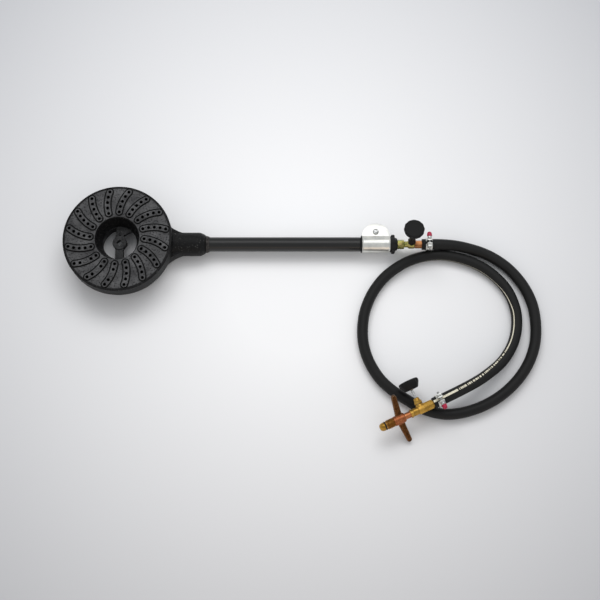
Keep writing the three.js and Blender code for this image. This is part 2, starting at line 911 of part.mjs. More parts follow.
// Wing nut: hub, external thread that screws into the cylinder valve, and two arms.
function wingNut() {
  const start = wingStart();
  const hubEnd = start + wingHubLength;
  const threadEnd = hubEnd + wingThreadLength;
  const pitch = (wingThreadLength - 1) / wingThreads;
  const profile = [
    [start, 0],
    [start, wingHubRadius - 1],
    [start + 1.4, wingHubRadius],
    [hubEnd, wingHubRadius],
  ];
  for (let i = 0; i < wingThreads; i += 1) {
    profile.push([hubEnd + 0.2 + i * pitch, wingThreadRadius - wingThreadDepth]);
    profile.push([hubEnd + 0.2 + (i + 0.5) * pitch, wingThreadRadius]);
  }
  profile.push([threadEnd, wingThreadRadius - wingThreadDepth], [threadEnd, 0]);
  const bore = turnedX(rod(start - 1, threadEnd + 1, spindleRadius + gap), 20);
  const arms = wingArm().add(wingArm().mirror([0, 1, 0]));
  const middle = start + wingHubLength / 2;
  return turnedX(profile, 28).add(arms.translate([middle, 0, 0])).subtract(bore);
}

// ---------- hose ----------

function hoseCurve() {
  const points = hoseRoute.map(([x, y, z]) => new THREE.Vector3(x, y, z));
  points.unshift(new THREE.Vector3(hoseStart, 0, armHeight));
  points.push(hoseStraight.clone(), hoseEnd.clone());
  points.forEach((point) => { point.x += headX; });
  return new THREE.CatmullRomCurve3(points, false, 'centripetal');
}

function hoseSection() {
  const outline = [];
  for (let i = 0; i < hoseFacets; i += 1) {
    const angle = (2 * Math.PI * (i + 0.5)) / hoseFacets;
    outline.push(new THREE.Vector2(hoseRadius * Math.cos(angle), hoseRadius * Math.sin(angle)));
  }
  return new THREE.Shape(outline);
}

function gasHose() {
  const geometry = new THREE.ExtrudeGeometry(hoseSection(), {
    steps: hoseSteps,
    extrudePath: hoseCurve(),
    bevelEnabled: false,
  });
  const depth = barbLength + gap;
  const socketHole = turnedX(rod(-2, depth, barbRadius + gap), 16);
  const nearHole = socketHole.translate([headX + hoseStart, 0, armHeight]);
  const farHole = socketHole
    .rotate([0, 0, fittingYaw - 180])
    .translate([headX + hoseEnd.x, hoseEnd.y, hoseEnd.z]);
  return toSolid(geometry).subtract(nearHole).subtract(farHole);
}

// ---------- hose clamp: hose along X, screw along Y above it ----------

function clampHole() {
  const hole = turnedZ(rod(-20, 20, clampScrewRadius + gap), 16);
  return hole.rotate([90, 0, 0]).translate([0, 0, clampScrewHeight]);
}

function clampBand() {
  const inner = hoseRadius + gap;
  const earTop = bandRadius + clampEar;
  const earWidth = bandWidth / 2 - 1;
  const ring = turnedX(sleeve(-bandWidth / 2, bandWidth / 2, inner, bandRadius), 20);
  const ears = boxSolid(
    [-earWidth, -clampEarOuter, inner - 0.4],
    [earWidth, clampEarOuter, earTop],
  );
  const slit = boxSolid([-bandWidth, -clampSlit / 2, 0], [bandWidth, clampSlit / 2, earTop + 1]);
  const hollow = turnedX(rod(-bandWidth, bandWidth, inner), 20);
  return ring.add(ears).subtract(slit).subtract(clampHole()).subtract(hollow);
}

function clampScrew() {
  const seat = clampEarOuter + gap;
  return turnedZ([
    [-clampShankEnd, 0],
    [-clampShankEnd, clampScrewRadius],
    [seat, clampScrewRadius],
    [seat, clampNutAcross / 2],
    [seat + clampHeadHeight, clampNutAcross / 2],
    [seat + clampHeadHeight, capPegRadius],
    [capPegEnd, capPegRadius],
    [capPegEnd, 0],
  ], 16).rotate([-90, 0, 0]);
}

function clampNut() {
  const half = clampNutAcross / 2;
  const nut = boxSolid(
    [-half, -clampEarOuter - gap - clampNutWidth, clampScrewHeight - half],
    [half, -clampEarOuter - gap, clampScrewHeight + half],
  );
  return nut.subtract(clampHole());
}

// Plastic cap over the screw's head.
function clampCap() {
  const start = clampEarOuter + clampHeadHeight + capStandoff;
  return turnedZ([
    [start, capPegRadius + gap],
    [start, capRadius],
    [start + capLength - 2.4, capRadius - 0.3],
    [start + capLength - 0.6, capRadius - 1.4],
    [start + capLength, capRadius - 3],
    [start + capLength, 0],
    [capPegEnd + gap, 0],
    [capPegEnd + gap, capPegRadius + gap],
    [start, capPegRadius + gap],
  ], 24).rotate([-90, 0, 0]);
}

function hoseClamp(group, suffix) {
  addPiece(group, `clamp_band_${suffix}`, clampBand(), zincSheet());
  addPiece(group, `clamp_nut_${suffix}`, clampNut(), zincSheet());
  const screw = addPiece(group, `clamp_screw_${suffix}`, clampScrew(), zincSheet());
  const cap = addPiece(group, `clamp_cap_${suffix}`, clampCap(), redPlastic());
  screw.position.z = clampScrewHeight;
  cap.position.z = clampScrewHeight;
}

// ---------- assembly ----------

const burner = new THREE.Group();

const head = new THREE.Group();
head.position.x = headX;
burner.add(head);
addPiece(head, 'burner_head', burnerHead(), castIron());

const arm = new THREE.Group();
arm.position.set(headX, 0, armHeight);
burner.add(arm);
addPiece(arm, 'arm_tube', armTube(), blackPaint());
addPiece(arm, 'socket_weld', socketWeld(), castIron());
addPiece(arm, 'mixer_body', mixerBody(), castIron());
addPiece(arm, 'air_shutter', airShutter(), zincSheet());
const screwX = (shutterStart + shutterEnd) / 2;
const shutterScrewMesh = addPiece(arm, 'shutter_screw', shutterScrew(), zincSheet());
const shutterNutMesh = addPiece(arm, 'shutter_nut', shutterNut(), zincSheet());
shutterScrewMesh.position.set(screwX, shutterScrewReach, 0);
shutterNutMesh.position.set(screwX, shutterScrewReach, 0);
addPiece(arm, 'gas_jet', gasJet(), brass());
addPiece(arm, 'inlet_nipple', inletNipple(), yellowZinc());

const armValve = new THREE.Group();
armValve.position.x = valveCentre;
armValve.rotation.x = -radians(armValveLean);
arm.add(armValve);
addPiece(armValve, 'valve_body_1', armValveBody(armBossTop), yellowZinc());
valveTop(armValve, '1', {
  bossTop: armBossTop,
  glandReach: armGlandReach,
  neckRadius: armNeckRadius,
  knobReach: armKnobReach,
}, blackOxide());

const armTail = new THREE.Group();
armTail.position.x = tailStart;
arm.add(armTail);
addPiece(armTail, 'hose_tail_1', hoseTail(tailLength), copperBronze());

const armClamp = new THREE.Group();
armClamp.position.x = clampCentre;
arm.add(armClamp);
hoseClamp(armClamp, '1');

addPiece(burner, 'gas_hose', gasHose(), rubber());

const fitting = new THREE.Group();
fitting.position.copy(fittingPlace);
fitting.position.x += headX;
fitting.rotation.z = radians(fittingYaw);
burner.add(fitting);

const endValve = new THREE.Group();
endValve.rotation.x = radians(90 - endValveRise);
fitting.add(endValve);
addPiece(endValve, 'tee_body', teeBody(endBossTop), brass());
valveTop(endValve, '2', {
  bossTop: endBossTop,
  glandReach: endGlandReach,
  neckRadius: endNeckRadius,
  knobReach: endKnobReach,
}, brass());

const endTail = new THREE.Group();
endTail.position.x = -teeBack - gap;
endTail.rotation.z = Math.PI;
fitting.add(endTail);
addPiece(endTail, 'hose_tail_2', hoseTail(endTailLength), brass());

const endClamp = new THREE.Group();
endClamp.position.x = -hoseEndSetback - endBandSetback - bandWidth / 2;
fitting.add(endClamp);
hoseClamp(endClamp, '2');

addPiece(fitting, 'spindle_collar', spindleCollar(), brass());
addPiece(fitting, 'spindle', spindle(), copperBronze());
addPiece(fitting, 'spindle_nose', spindleNose(), brass());
addPiece(fitting, 'nose_seal', noseSeal(), rubber());
const wing = new THREE.Group();
wing.rotation.x = -radians(wingRoll);
fitting.add(wing);
addPiece(wing, 'wing_nut', wingNut(), copperBronze());

export default burner;
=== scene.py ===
"""Looks of a cast-iron ring burner: head, arm, air shutter, needle valves, hose and cylinder fitting.

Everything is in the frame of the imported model, in metres. Sizes are typed in millimetres.
"""

import math

import bpy
from mathutils import Matrix, Vector


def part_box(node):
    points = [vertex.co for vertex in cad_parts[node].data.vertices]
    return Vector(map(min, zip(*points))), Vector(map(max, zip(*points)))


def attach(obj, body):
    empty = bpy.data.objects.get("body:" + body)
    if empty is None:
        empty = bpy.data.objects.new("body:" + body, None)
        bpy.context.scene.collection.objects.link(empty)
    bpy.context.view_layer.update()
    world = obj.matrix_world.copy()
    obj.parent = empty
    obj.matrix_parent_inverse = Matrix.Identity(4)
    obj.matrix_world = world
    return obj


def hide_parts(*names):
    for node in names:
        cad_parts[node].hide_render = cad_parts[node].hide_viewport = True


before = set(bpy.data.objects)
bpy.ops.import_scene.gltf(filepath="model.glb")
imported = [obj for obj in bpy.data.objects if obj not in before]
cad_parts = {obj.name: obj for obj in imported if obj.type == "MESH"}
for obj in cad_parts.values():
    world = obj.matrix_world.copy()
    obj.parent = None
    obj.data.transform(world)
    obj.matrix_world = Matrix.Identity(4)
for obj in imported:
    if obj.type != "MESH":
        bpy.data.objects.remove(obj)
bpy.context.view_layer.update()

MM = 0.001
FULL_TURN = 2 * math.pi
SMOOTH_ANGLE = math.radians(32)

# ---------- places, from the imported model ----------

HEAD_RADIUS = 79.5
HEAD_TOP = 50
RUBBED_RADIUS = 75.8
head_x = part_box("burner_head")[0].x / MM + HEAD_RADIUS
arm_low, arm_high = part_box("arm_tube")
arm_height = (arm_low.z + arm_high.z) / 2 / MM


def at(x=0, y=0, z=0):
    """A move in millimetres."""
    return Matrix.Translation((x * MM, y * MM, z * MM))


def turn(axis, degrees):
    return Matrix.Rotation(math.radians(degrees), 4, axis)


LENGTHWISE = turn("Y", 90)                      # lays a turned piece along +X
head_place = at(head_x)
arm_place = at(head_x, 0, arm_height)
arm_valve_place = arm_place @ at(431) @ turn("X", -10)
arm_tail_place = arm_place @ at(435.8)
arm_clamp_place = arm_place @ at(456.8)
fitting_place = at(head_x + 437.7, -247.1, 27) @ turn("Z", 205)
end_valve_place = fitting_place @ turn("X", 86)
end_tail_place = fitting_place @ at(-18.3) @ turn("Z", 180)
end_clamp_place = fitting_place @ at(-29.8)
wing_place = fitting_place @ turn("X", -36)

# ---------- camera ----------

camera_data = bpy.data.cameras.new("camera")
camera_data.sensor_width = 36
camera_data.lens = 64.865
camera_data.clip_end = 50
camera = bpy.data.objects.new("camera", camera_data)
camera.location = ((head_x + 266.06) * MM, -0.4809, 1.549)
camera.rotation_euler = (math.radians(14.5), 0, 0)
bpy.context.scene.collection.objects.link(camera)
bpy.context.scene.camera = camera

# ---------- materials ----------


def linear(hex_colour):
    """An sRGB hex colour as linear RGBA."""
    values = [int(hex_colour[i:i + 2], 16) / 255 for i in (1, 3, 5)]
    return [v / 12.92 if v <= 0.04045 else ((v + 0.055) / 1.055) ** 2.4 for v in values] + [1]


def new_material(name, colour, metallic, roughness):
    material = bpy.data.materials.new(name)
    material.use_nodes = True
    shader = material.node_tree.nodes["Principled BSDF"]
    shader.inputs["Base Color"].default_value = linear(colour)
    shader.inputs["Metallic"].default_value = metallic
    shader.inputs["Roughness"].default_value = roughness
    return material


def add_node(material, kind, links=None, **settings):
    """Adds a node. Links go to its inputs by name or number, other values are set on them."""
    added = material.node_tree.nodes.new(kind)
    for name, value in settings.items():
        setattr(added, name, value)
    for name, value in (links or {}).items():
        if isinstance(value, bpy.types.NodeSocket):
            material.node_tree.links.new(value, added.inputs[name])
        else:
            added.inputs[name].default_value = value
    return added


def to_shader(material, name, socket):
    shader = material.node_tree.nodes["Principled BSDF"]
    material.node_tree.links.new(socket, shader.inputs[name])


def coordinates(material, place=None):
    """Object coordinates, turned and centred on a piece's own axes when a place is given."""
    source = add_node(material, "ShaderNodeTexCoord").outputs["Object"]
    if place is None:
        return source
    inverse = place.inverted()
    return add_node(material, "ShaderNodeMapping", {
        "Vector": source,
        "Location": inverse.to_translation(),
        "Rotation": inverse.to_euler(),
    }).outputs["Vector"]


def grains(material, where, size_mm, detail=4, stretch=None):
    """Noise whose grains are about size_mm across; stretch lengthens them along an axis."""
    if stretch:
        where = add_node(material, "ShaderNodeMapping", {"Vector": where, "Scale": stretch}).outputs["Vector"]
    return add_node(material, "ShaderNodeTexNoise", {
        "Vector": where,
        "Scale": 0.5 / (size_mm * MM),
        "Detail": detail,
    }).outputs["Fac"]


def spread(material, value, low, high, from_low=0.3, from_high=0.7):
    """Maps a noise value to a range, kept within it."""
    return add_node(material, "ShaderNodeMapRange", {
        "Value": value,
        "From Min": from_low,
        "From Max": from_high,
        "To Min": low,
        "To Max": high,
    }).outputs["Result"]


def mix_colours(material, factor, first, second):
    """Blends two colours, each a hex text or a socket."""
    pick = [linear(c) if isinstance(c, str) else c for c in (first, second)]
    added = add_node(material, "ShaderNodeMix", data_type="RGBA")
    for socket, value in zip((added.inputs[0], added.inputs[6], added.inputs[7]), [factor] + pick):
        if isinstance(value, bpy.types.NodeSocket):
            material.node_tree.links.new(value, socket)
        else:
            socket.default_value = value
    return added.outputs[2]


def bumps(material, height, depth_mm, strength=1.0, under=None):
    links = {"Height": height, "Distance": depth_mm * MM, "Strength": strength}
    if under is not None:
        links["Normal"] = under
    return add_node(material, "ShaderNodeBump", links).outputs["Normal"]


# Sand-cast grey iron under black heat paint: the paint is rubbed off the top face and its ridges, which show dry,
# mottled grey iron, and stays black in the grooves, round the rim and down the sides; the black grooves are partly
# painted shade. Faces on top that don't face up, such as the ridge flanks and port lips, are kept black as painted
# shade, and the bridge's up-facing faces are painted partly grey as painted light.
def cast_iron():
    material = new_material("painted_grey_cast_iron", "#3c3c3e", 0, 0.7)
    material.node_tree.nodes["Principled BSDF"].inputs["Specular IOR Level"].default_value = 0.16
    where = coordinates(material)
    blotches = grains(material, where, 7, 5)
    sand = grains(material, where, 1.1, 3)
    iron = mix_colours(material, spread(material, blotches, 0, 1), "#3a3a3b", "#565657")
    pits = spread(material, sand, 0, 1, 0.3, 0.5)
    iron = mix_colours(material, pits, "#222223", iron)
    specks = spread(material, grains(material, where, 0.9, 2), 0, 0.8, 0.66, 0.72)
    paint = mix_colours(material, specks, mix_colours(material, pits, "#040404", "#101011"), "#5e5e5c")
    place = add_node(material, "ShaderNodeSeparateXYZ", {0: coordinates(material, head_place)})
    flat_way = add_node(material, "ShaderNodeCombineXYZ", {0: place.outputs["X"], 1: place.outputs["Y"]}).outputs[0]
    radius = add_node(material, "ShaderNodeVectorMath", {0: flat_way}, operation="LENGTH").outputs["Value"]
    facing = add_node(material, "ShaderNodeSeparateXYZ", {
        0: add_node(material, "ShaderNodeNewGeometry").outputs["Normal"],
    }).outputs["Z"]
    # painted light: up-facing faces show the lighter grey, faces turned away stay black as painted shade
    up_facing_painted_light = spread(material, facing, 0, 1, 0.72, 0.9)
    on_top = spread(material, place.outputs["Z"], 0, 1, (HEAD_TOP - 0.35) * MM, (HEAD_TOP - 0.1) * MM)
    within_rim = spread(material, radius, 1, 0, (RUBBED_RADIUS - 0.5) * MM, (RUBBED_RADIUS + 0.5) * MM)
    # painted light: the bridge's up-facing faces are painted partly grey
    bridge_painted_light = spread(material, place.outputs["Z"], 0.42, 0, 30 * MM, 32 * MM)
    bridge_painted_light = add_node(material, "ShaderNodeMath", {
        0: bridge_painted_light,
        1: spread(material, radius, 1, 0, 24 * MM, 28 * MM),
    }, operation="MULTIPLY").outputs[0]
    # real rubbed wear on the top face, combined below with the painted light and shade
    rubbed_and_painted_light = add_node(material, "ShaderNodeMath", {0: on_top, 1: within_rim}, operation="MULTIPLY").outputs[0]
    rubbed_and_painted_light = add_node(material, "ShaderNodeMath", {0: rubbed_and_painted_light, 1: bridge_painted_light}, operation="MAXIMUM").outputs[0]
    rubbed_and_painted_light = add_node(material, "ShaderNodeMath", {0: rubbed_and_painted_light, 1: up_facing_painted_light}, operation="MULTIPLY").outputs[0]
    to_shader(material, "Base Color", mix_colours(material, rubbed_and_painted_light, paint, iron))
    to_shader(material, "Roughness", spread(material, rubbed_and_painted_light, 0.5, 0.85, 0, 1))
    rough_skin = bumps(material, sand, 0.35, 0.6)
    to_shader(material, "Normal", bumps(material, grains(material, where, 3.5, 2), 0.5, 0.5, rough_skin))
    return material


# Weld bead: grey-black scale over rippled steel.
def weld_scale():
    material = new_material("weld_bead_scale", "#2b2a2a", 0.7, 0.5)
    where = coordinates(material)
    scale = grains(material, where, 1.2, 4)
    to_shader(material, "Base Color", mix_colours(material, spread(material, scale, 0, 1), "#161515", "#4b4745"))
    to_shader(material, "Normal", bumps(material, scale, 0.3, 0.6))
    return material


# Black gloss enamel sprayed on steel pipe: deep black, a broad highlight with faint orange peel.
def gloss_enamel():
    material = new_material("black_gloss_enamel", "#090909", 0, 0.3)
    shader = material.node_tree.nodes["Principled BSDF"]
    shader.inputs["Specular IOR Level"].default_value = 0.4
    shader.inputs["Coat Weight"].default_value = 0.12
    shader.inputs["Coat Roughness"].default_value = 0.2
    where = coordinates(material)
    peel = grains(material, where, 1.6, 2)
    dust = grains(material, where, 0.7, 2)
    speck = spread(material, dust, 0, 1, 0.72, 0.76)
    to_shader(material, "Base Color", mix_colours(material, speck, "#090909", "#3a3a3a"))
    to_shader(material, "Roughness", spread(material, grains(material, where, 14, 3), 0.26, 0.38))
    to_shader(material, "Normal", bumps(material, peel, 0.05, 0.35))
    return material


# Black cast iron of the mixer: satin black over a fine sand skin.
def black_casting():
    material = new_material("black_satin_casting", "#131313", 0, 0.5)
    material.node_tree.nodes["Principled BSDF"].inputs["Specular IOR Level"].default_value = 0.3
    where = coordinates(material)
    sand = grains(material, where, 0.9, 3)
    to_shader(material, "Base Color", mix_colours(material, spread(material, sand, 0, 1), "#070707", "#181818"))
    to_shader(material, "Roughness", spread(material, sand, 0.4, 0.6))
    to_shader(material, "Normal", bumps(material, sand, 0.25, 0.5))
    return material


# Bright zinc-plated sheet steel: pale, slightly blue, with rolling marks along the sheet.
def zinc_sheet(name, place):
    material = new_material(name, "#d6d6d2", 1, 0.3)
    where = coordinates(material, place)
    rolling = grains(material, where, 0.6, 3, stretch=(0.06, 1, 1))
    bloom = grains(material, where, 6, 4)
    to_shader(material, "Base Color", mix_colours(material, spread(material, bloom, 0, 1), "#cfd0cd", "#ecebe4"))
    to_shader(material, "Roughness", spread(material, rolling, 0.26, 0.38))
    to_shader(material, "Normal", bumps(material, rolling, 0.03, 0.2))
    return material


# Bright zinc-plated fasteners: small soft highlights over fine turning marks.
def plated_steel():
    material = new_material("bright_plated_steel", "#c8cacc", 1, 0.22)
    where = coordinates(material)
    tumbled = grains(material, where, 0.5, 3)
    to_shader(material, "Base Color", mix_colours(material, spread(material, tumbled, 0, 1), "#a9acae", "#dcdcd8"))
    to_shader(material, "Roughness", spread(material, tumbled, 0.16, 0.32))
    to_shader(material, "Normal", bumps(material, tumbled, 0.04, 0.4))
    return material


# Yellow-passivated zinc on turned steel: olive gold that shifts to green and rose.
def yellow_zinc():
    material = new_material("yellow_passivated_zinc", "#b5ab5f", 1, 0.3)
    where = coordinates(material)
    film = grains(material, where, 3.2, 3)
    colour = mix_colours(material, spread(material, film, 0, 1), "#8e9450", "#bfae6c")
    stain = spread(material, grains(material, where, 5, 2), 0, 0.45, 0.5, 0.72)
    to_shader(material, "Base Color", mix_colours(material, stain, colour, "#a98a70"))
    to_shader(material, "Roughness", spread(material, film, 0.24, 0.38))
    to_shader(material, "Normal", bumps(material, grains(material, where, 0.5, 3), 0.04, 0.4))
    return material


# Machined yellow brass: lathe rings round the piece's own axis and a warm, slightly dulled film.
def machined_brass(name, place, bright, dull):
    material = new_material(name, bright, 1, 0.25)
    where = coordinates(material, place)
    rings = add_node(material, "ShaderNodeTexWave", {
        "Vector": where,
        "Scale": 0.5 / (0.9 * MM),
        "Distortion": 1.2,
        "Detail": 2,
        "Detail Scale": 1.5,
    }, wave_type="BANDS", bands_direction="X").outputs["Fac"]
    film = grains(material, where, 4, 4)
    to_shader(material, "Base Color", mix_colours(material, spread(material, film, 0, 1), dull, bright))
    to_shader(material, "Roughness", spread(material, film, 0.2, 0.36))
    to_shader(material, "Normal", bumps(material, rings, 0.03, 0.35))
    return material


# Cast red brass of the wing nut: brown skin on the wings, rubbed pale on their edges, which is partly wear and partly
# a painted highlight on their bevels; the turned hub is copper-bright and its thread yellower.
def cast_red_brass():
    material = new_material("cast_red_brass", "#7a5230", 1, 0.4)
    where = coordinates(material)
    skin = grains(material, where, 1.3, 4)
    own = add_node(material, "ShaderNodeSeparateXYZ", {0: coordinates(material, wing_place)})
    across = add_node(material, "ShaderNodeCombineXYZ", {0: own.outputs["Y"], 1: own.outputs["Z"]}).outputs[0]
    radius = add_node(material, "ShaderNodeVectorMath", {0: across}, operation="LENGTH").outputs["Value"]
    turned_part = spread(material, radius, 1, 0, 7.2 * MM, 8.4 * MM)
    threaded = spread(material, own.outputs["X"], 0, 1, 42 * MM, 43.5 * MM)
    # pale edges: partly edge wear, partly a painted highlight on the bevels
    edge = add_node(material, "ShaderNodeBevel", {"Radius": 2.2 * MM}, samples=6).outputs["Normal"]
    flat = add_node(material, "ShaderNodeNewGeometry").outputs["Normal"]
    meet = add_node(material, "ShaderNodeVectorMath", {0: edge, 1: flat}, operation="DOT_PRODUCT").outputs["Value"]
    edge_wear_and_highlight = spread(material, meet, 1, 0, 0.84, 0.985)
    body = mix_colours(material, spread(material, skin, 0, 1), "#3a2412", "#6c4628")
    body = mix_colours(material, edge_wear_and_highlight, body, "#e2bd93")
    hub = mix_colours(material, spread(material, skin, 0, 1), "#8a4e30", "#b4704b")
    hub = mix_colours(material, threaded, hub, "#a97c3e")
    to_shader(material, "Base Color", mix_colours(material, turned_part, body, hub))
    to_shader(material, "Roughness", spread(material, skin, 0.3, 0.46))
    to_shader(material, "Normal", bumps(material, skin, 0.12, 0.5))
    return material


# Black oxide on turned steel: brown-black with a faint metal sheen.
def black_oxide():
    material = new_material("black_oxide_steel", "#2c2724", 0.8, 0.42)
    where = coordinates(material)
    film = grains(material, where, 2.2, 3)
    to_shader(material, "Base Color", mix_colours(material, spread(material, film, 0, 1), "#1c1817", "#3d3632"))
    to_shader(material, "Roughness", spread(material, film, 0.36, 0.5))
    to_shader(material, "Normal", bumps(material, grains(material, where, 0.6, 3), 0.05, 0.4))
    return material


# Black moulded plastic of the hand knobs: matt, with a fine spark-eroded grain.
def knob_plastic():
    material = new_material("black_moulded_plastic", "#131313", 0, 0.5)
    shader = material.node_tree.nodes["Principled BSDF"]
    shader.inputs["IOR"].default_value = 1.46
    shader.inputs["Specular IOR Level"].default_value = 0.22
    where = coordinates(material)
    spark = grains(material, where, 0.5, 2)
    to_shader(material, "Base Color", mix_colours(material, spread(material, spark, 0, 1), "#0b0b0b", "#141414"))
    to_shader(material, "Roughness", spread(material, spark, 0.45, 0.62))
    to_shader(material, "Normal", bumps(material, spark, 0.06, 0.5))
    return material


# Crimson dipped plastic caps: glossy, a little translucent, with faint flow marks.
def cap_plastic():
    material = new_material("crimson_moulded_plastic", "#9c1236", 0, 0.25)
    shader = material.node_tree.nodes["Principled BSDF"]
    shader.inputs["Subsurface Weight"].default_value = 0.15
    shader.inputs["Subsurface Scale"].default_value = 0.6 * MM
    where = coordinates(material)
    flow = grains(material, where, 2.4, 2)
    to_shader(material, "Base Color", mix_colours(material, spread(material, flow, 0, 1), "#8a0d2e", "#b01a40"))
    to_shader(material, "Roughness", spread(material, flow, 0.2, 0.32))
    to_shader(material, "Normal", bumps(material, flow, 0.04, 0.3))
    return material


# Black nitrile seals: dull and dense.
def seal_rubber():
    material = new_material("black_nitrile_rubber", "#121212", 0, 0.65)
    where = coordinates(material)
    dust = grains(material, where, 0.8, 3)
    to_shader(material, "Base Color", mix_colours(material, spread(material, dust, 0, 1), "#0d0d0d", "#1d1d1d"))
    to_shader(material, "Normal", bumps(material, dust, 0.05, 0.4))
    return material


# Pale paper floor with a painted pool of light: darker away from the middle as painted light falloff.
def paper_floor():
    material = new_material("pale_paper", "#e6e6e7", 0, 0.9)
    where = coordinates(material, at(70, -60, 0))
    ball = add_node(material, "ShaderNodeVectorMath", {0: where}, operation="LENGTH").outputs["Value"]
    # painted light falloff: the floor is painted darker away from the middle
    away = spread(material, ball, 0, 1, 0.1, 0.78)
    to_shader(material, "Base Color", mix_colours(material, away, "#eeeeef", "#a9aaae"))
    return material


# ---------- modelling helpers ----------


def deselect():
    if bpy.context.object and bpy.context.object.mode != "OBJECT":
        bpy.ops.object.mode_set(mode="OBJECT")
    bpy.ops.object.select_all(action="DESELECT")


def select_only(piece):
    deselect()
    piece.select_set(True)
    bpy.context.view_layer.objects.active = piece


def line(name, points):
    """A chain of edges through points in millimetres, left in edit mode, all selected."""
    deselect()
    bpy.ops.mesh.primitive_plane_add(size=MM)
    piece = bpy.context.object
    piece.name = name
    bpy.ops.object.mode_set(mode="EDIT")
    bpy.ops.mesh.select_mode(type="VERT")
    bpy.ops.mesh.select_all(action="SELECT")
    bpy.ops.mesh.merge(type="CENTER")
    bpy.ops.transform.translate(value=Vector(points[0]) * MM)
    for before, after in zip(points, points[1:]):
        step = (Vector(after) - Vector(before)) * MM
        bpy.ops.mesh.extrude_vertices_move(TRANSFORM_OT_translate={"value": step})
    bpy.ops.mesh.select_all(action="SELECT")
    bpy.ops.mesh.remove_doubles(threshold=2e-7)
    bpy.ops.mesh.select_all(action="SELECT")
    return piece


def tidy_skin():
    """In edit mode: closes seams and poles and turns the faces outwards."""
    bpy.ops.mesh.select_all(action="SELECT")
    bpy.ops.mesh.remove_doubles(threshold=2e-6)
    bpy.ops.mesh.normals_make_consistent(inside=False)
    bpy.ops.object.mode_set(mode="OBJECT")


def turned(name, profile, steps=64, round_mm=0):
    """A lathe-turned piece about +Z; the profile lists (height, radius)."""
    if round_mm:
        profile = softened(profile, round_mm)
    piece = line(name, [(radius, 0, height) for height, radius in profile])
    bpy.ops.mesh.spin(steps=steps, angle=FULL_TURN, center=(0, 0, 0), axis=(0, 0, 1))
    tidy_skin()
    return piece


def softened(profile, radius, points=3):
    """The profile with its corners rounded."""
    rounded = [Vector(profile[0])]
    for before, corner, after in zip(profile, profile[1:], profile[2:]):
        corner = Vector(corner)
        back = Vector(before) - corner
        onward = Vector(after) - corner
        reach = min(radius, back.length * 0.45, onward.length * 0.45)
        start = corner + back.normalized() * reach
        end = corner + onward.normalized() * reach
        for i in range(points + 1):
            t = i / points
            rounded.append(start.lerp(corner, t).lerp(corner.lerp(end, t), t))
    rounded.append(Vector(profile[-1]))
    return rounded


def slab(name, outline, low, high):
    """A flat plate over a closed outline of (x, y) points."""
    piece = line(name, [(x, y, low) for x, y in outline] + [(*outline[0], low)])
    bpy.ops.mesh.edge_face_add()
    bpy.ops.mesh.extrude_region_move(TRANSFORM_OT_translate={"value": (0, 0, (high - low) * MM)})
    tidy_skin()
    return piece


def block(name, low, high):
    middle = (Vector(low) + Vector(high)) / 2 * MM
    size = (Vector(high) - Vector(low)) * MM
    deselect()
    bpy.ops.mesh.primitive_cube_add(size=1, location=middle, scale=size)
    piece = bpy.context.object
    piece.name = name
    return moved(piece, Matrix.Identity(4))


def moved(piece, place):
    """Puts the piece's place in its mesh."""
    select_only(piece)
    piece.matrix_world = place @ piece.matrix_world
    bpy.ops.object.transform_apply(location=True, rotation=True, scale=True)
    return piece


def copied(piece, place):
    twin = piece.copy()
    twin.data = piece.data.copy()
    bpy.context.scene.collection.objects.link(twin)
    return moved(twin, place)


def joined(pieces):
    deselect()
    for piece in pieces:
        piece.select_set(True)
    bpy.context.view_layer.objects.active = pieces[0]
    bpy.ops.object.join()
    return pieces[0]


def combined(piece, other, operation):
    """Welds (UNION), cuts (DIFFERENCE) or trims (INTERSECT) one solid with another."""
    modifier = piece.modifiers.new(operation, "BOOLEAN")
    modifier.object = other
    modifier.operation = operation
    modifier.solver = "EXACT"
    select_only(piece)
    bpy.ops.object.modifier_apply(modifier=modifier.name)
    bpy.data.objects.remove(other)
    return piece


def welded(piece, *others):
    for other in others:
        combined(piece, other, "UNION")
    return piece


def cut(piece, *tools):
    for tool in tools:
        combined(piece, tool, "DIFFERENCE")
    return piece


def bevelled(piece, width_mm, segments=2, angle=30):
    modifier = piece.modifiers.new("edges", "BEVEL")
    modifier.width = width_mm * MM
    modifier.segments = segments
    modifier.limit_method = "ANGLE"
    modifier.angle_limit = math.radians(angle)
    select_only(piece)
    bpy.ops.object.modifier_apply(modifier=modifier.name)
    return piece


def hexagon(name, across, low, high, steps=48):
    """A hexagonal bar about +Z whose ends are turned to a cone, as on a nut."""
    corner = across / math.sqrt(3)
    deselect()
    bpy.ops.mesh.primitive_cylinder_add(
        vertices=6,
        radius=corner * MM,
        depth=(high - low) * MM,
        location=(0, 0, (low + high) / 2 * MM),
    )
    bar = moved(bpy.context.object, Matrix.Identity(4))
    bar.name = name
    slope = across * 0.055
    lens = turned("lens", [
        (low - 0.01, 0),
        (low - 0.01, across * 0.475),
        (low + slope, corner + 0.05),
        (high - slope, corner + 0.05),
        (high + 0.01, across * 0.475),
        (high + 0.01, 0),
    ], steps)
    return combined(bevelled(bar, 0.12), lens, "INTERSECT")


def rod(low, high, radius):
    return [(low, 0), (low, radius), (high, radius), (high, 0)]


def bore(low, high, radius, steps=48):
    return turned("bore", rod(low, high, radius), steps)


def sleeve(low, high, inner, outer):
    middle = (low + high) / 2
    return [(middle, inner), (low, inner), (low, outer), (high, outer), (high, inner), (middle, inner)]


def screw_thread(low, high, core, crest, pitch):
    """Profile points of a screw thread, as rings one pitch apart."""
    points = []
    for i in range(int((high - low) / pitch)):
        points.append((low + (i + 0.1) * pitch, core))
        points.append((low + (i + 0.45) * pitch, crest))
        points.append((low + (i + 0.6) * pitch, crest))
        points.append((low + (i + 0.95) * pitch, core))
    return points


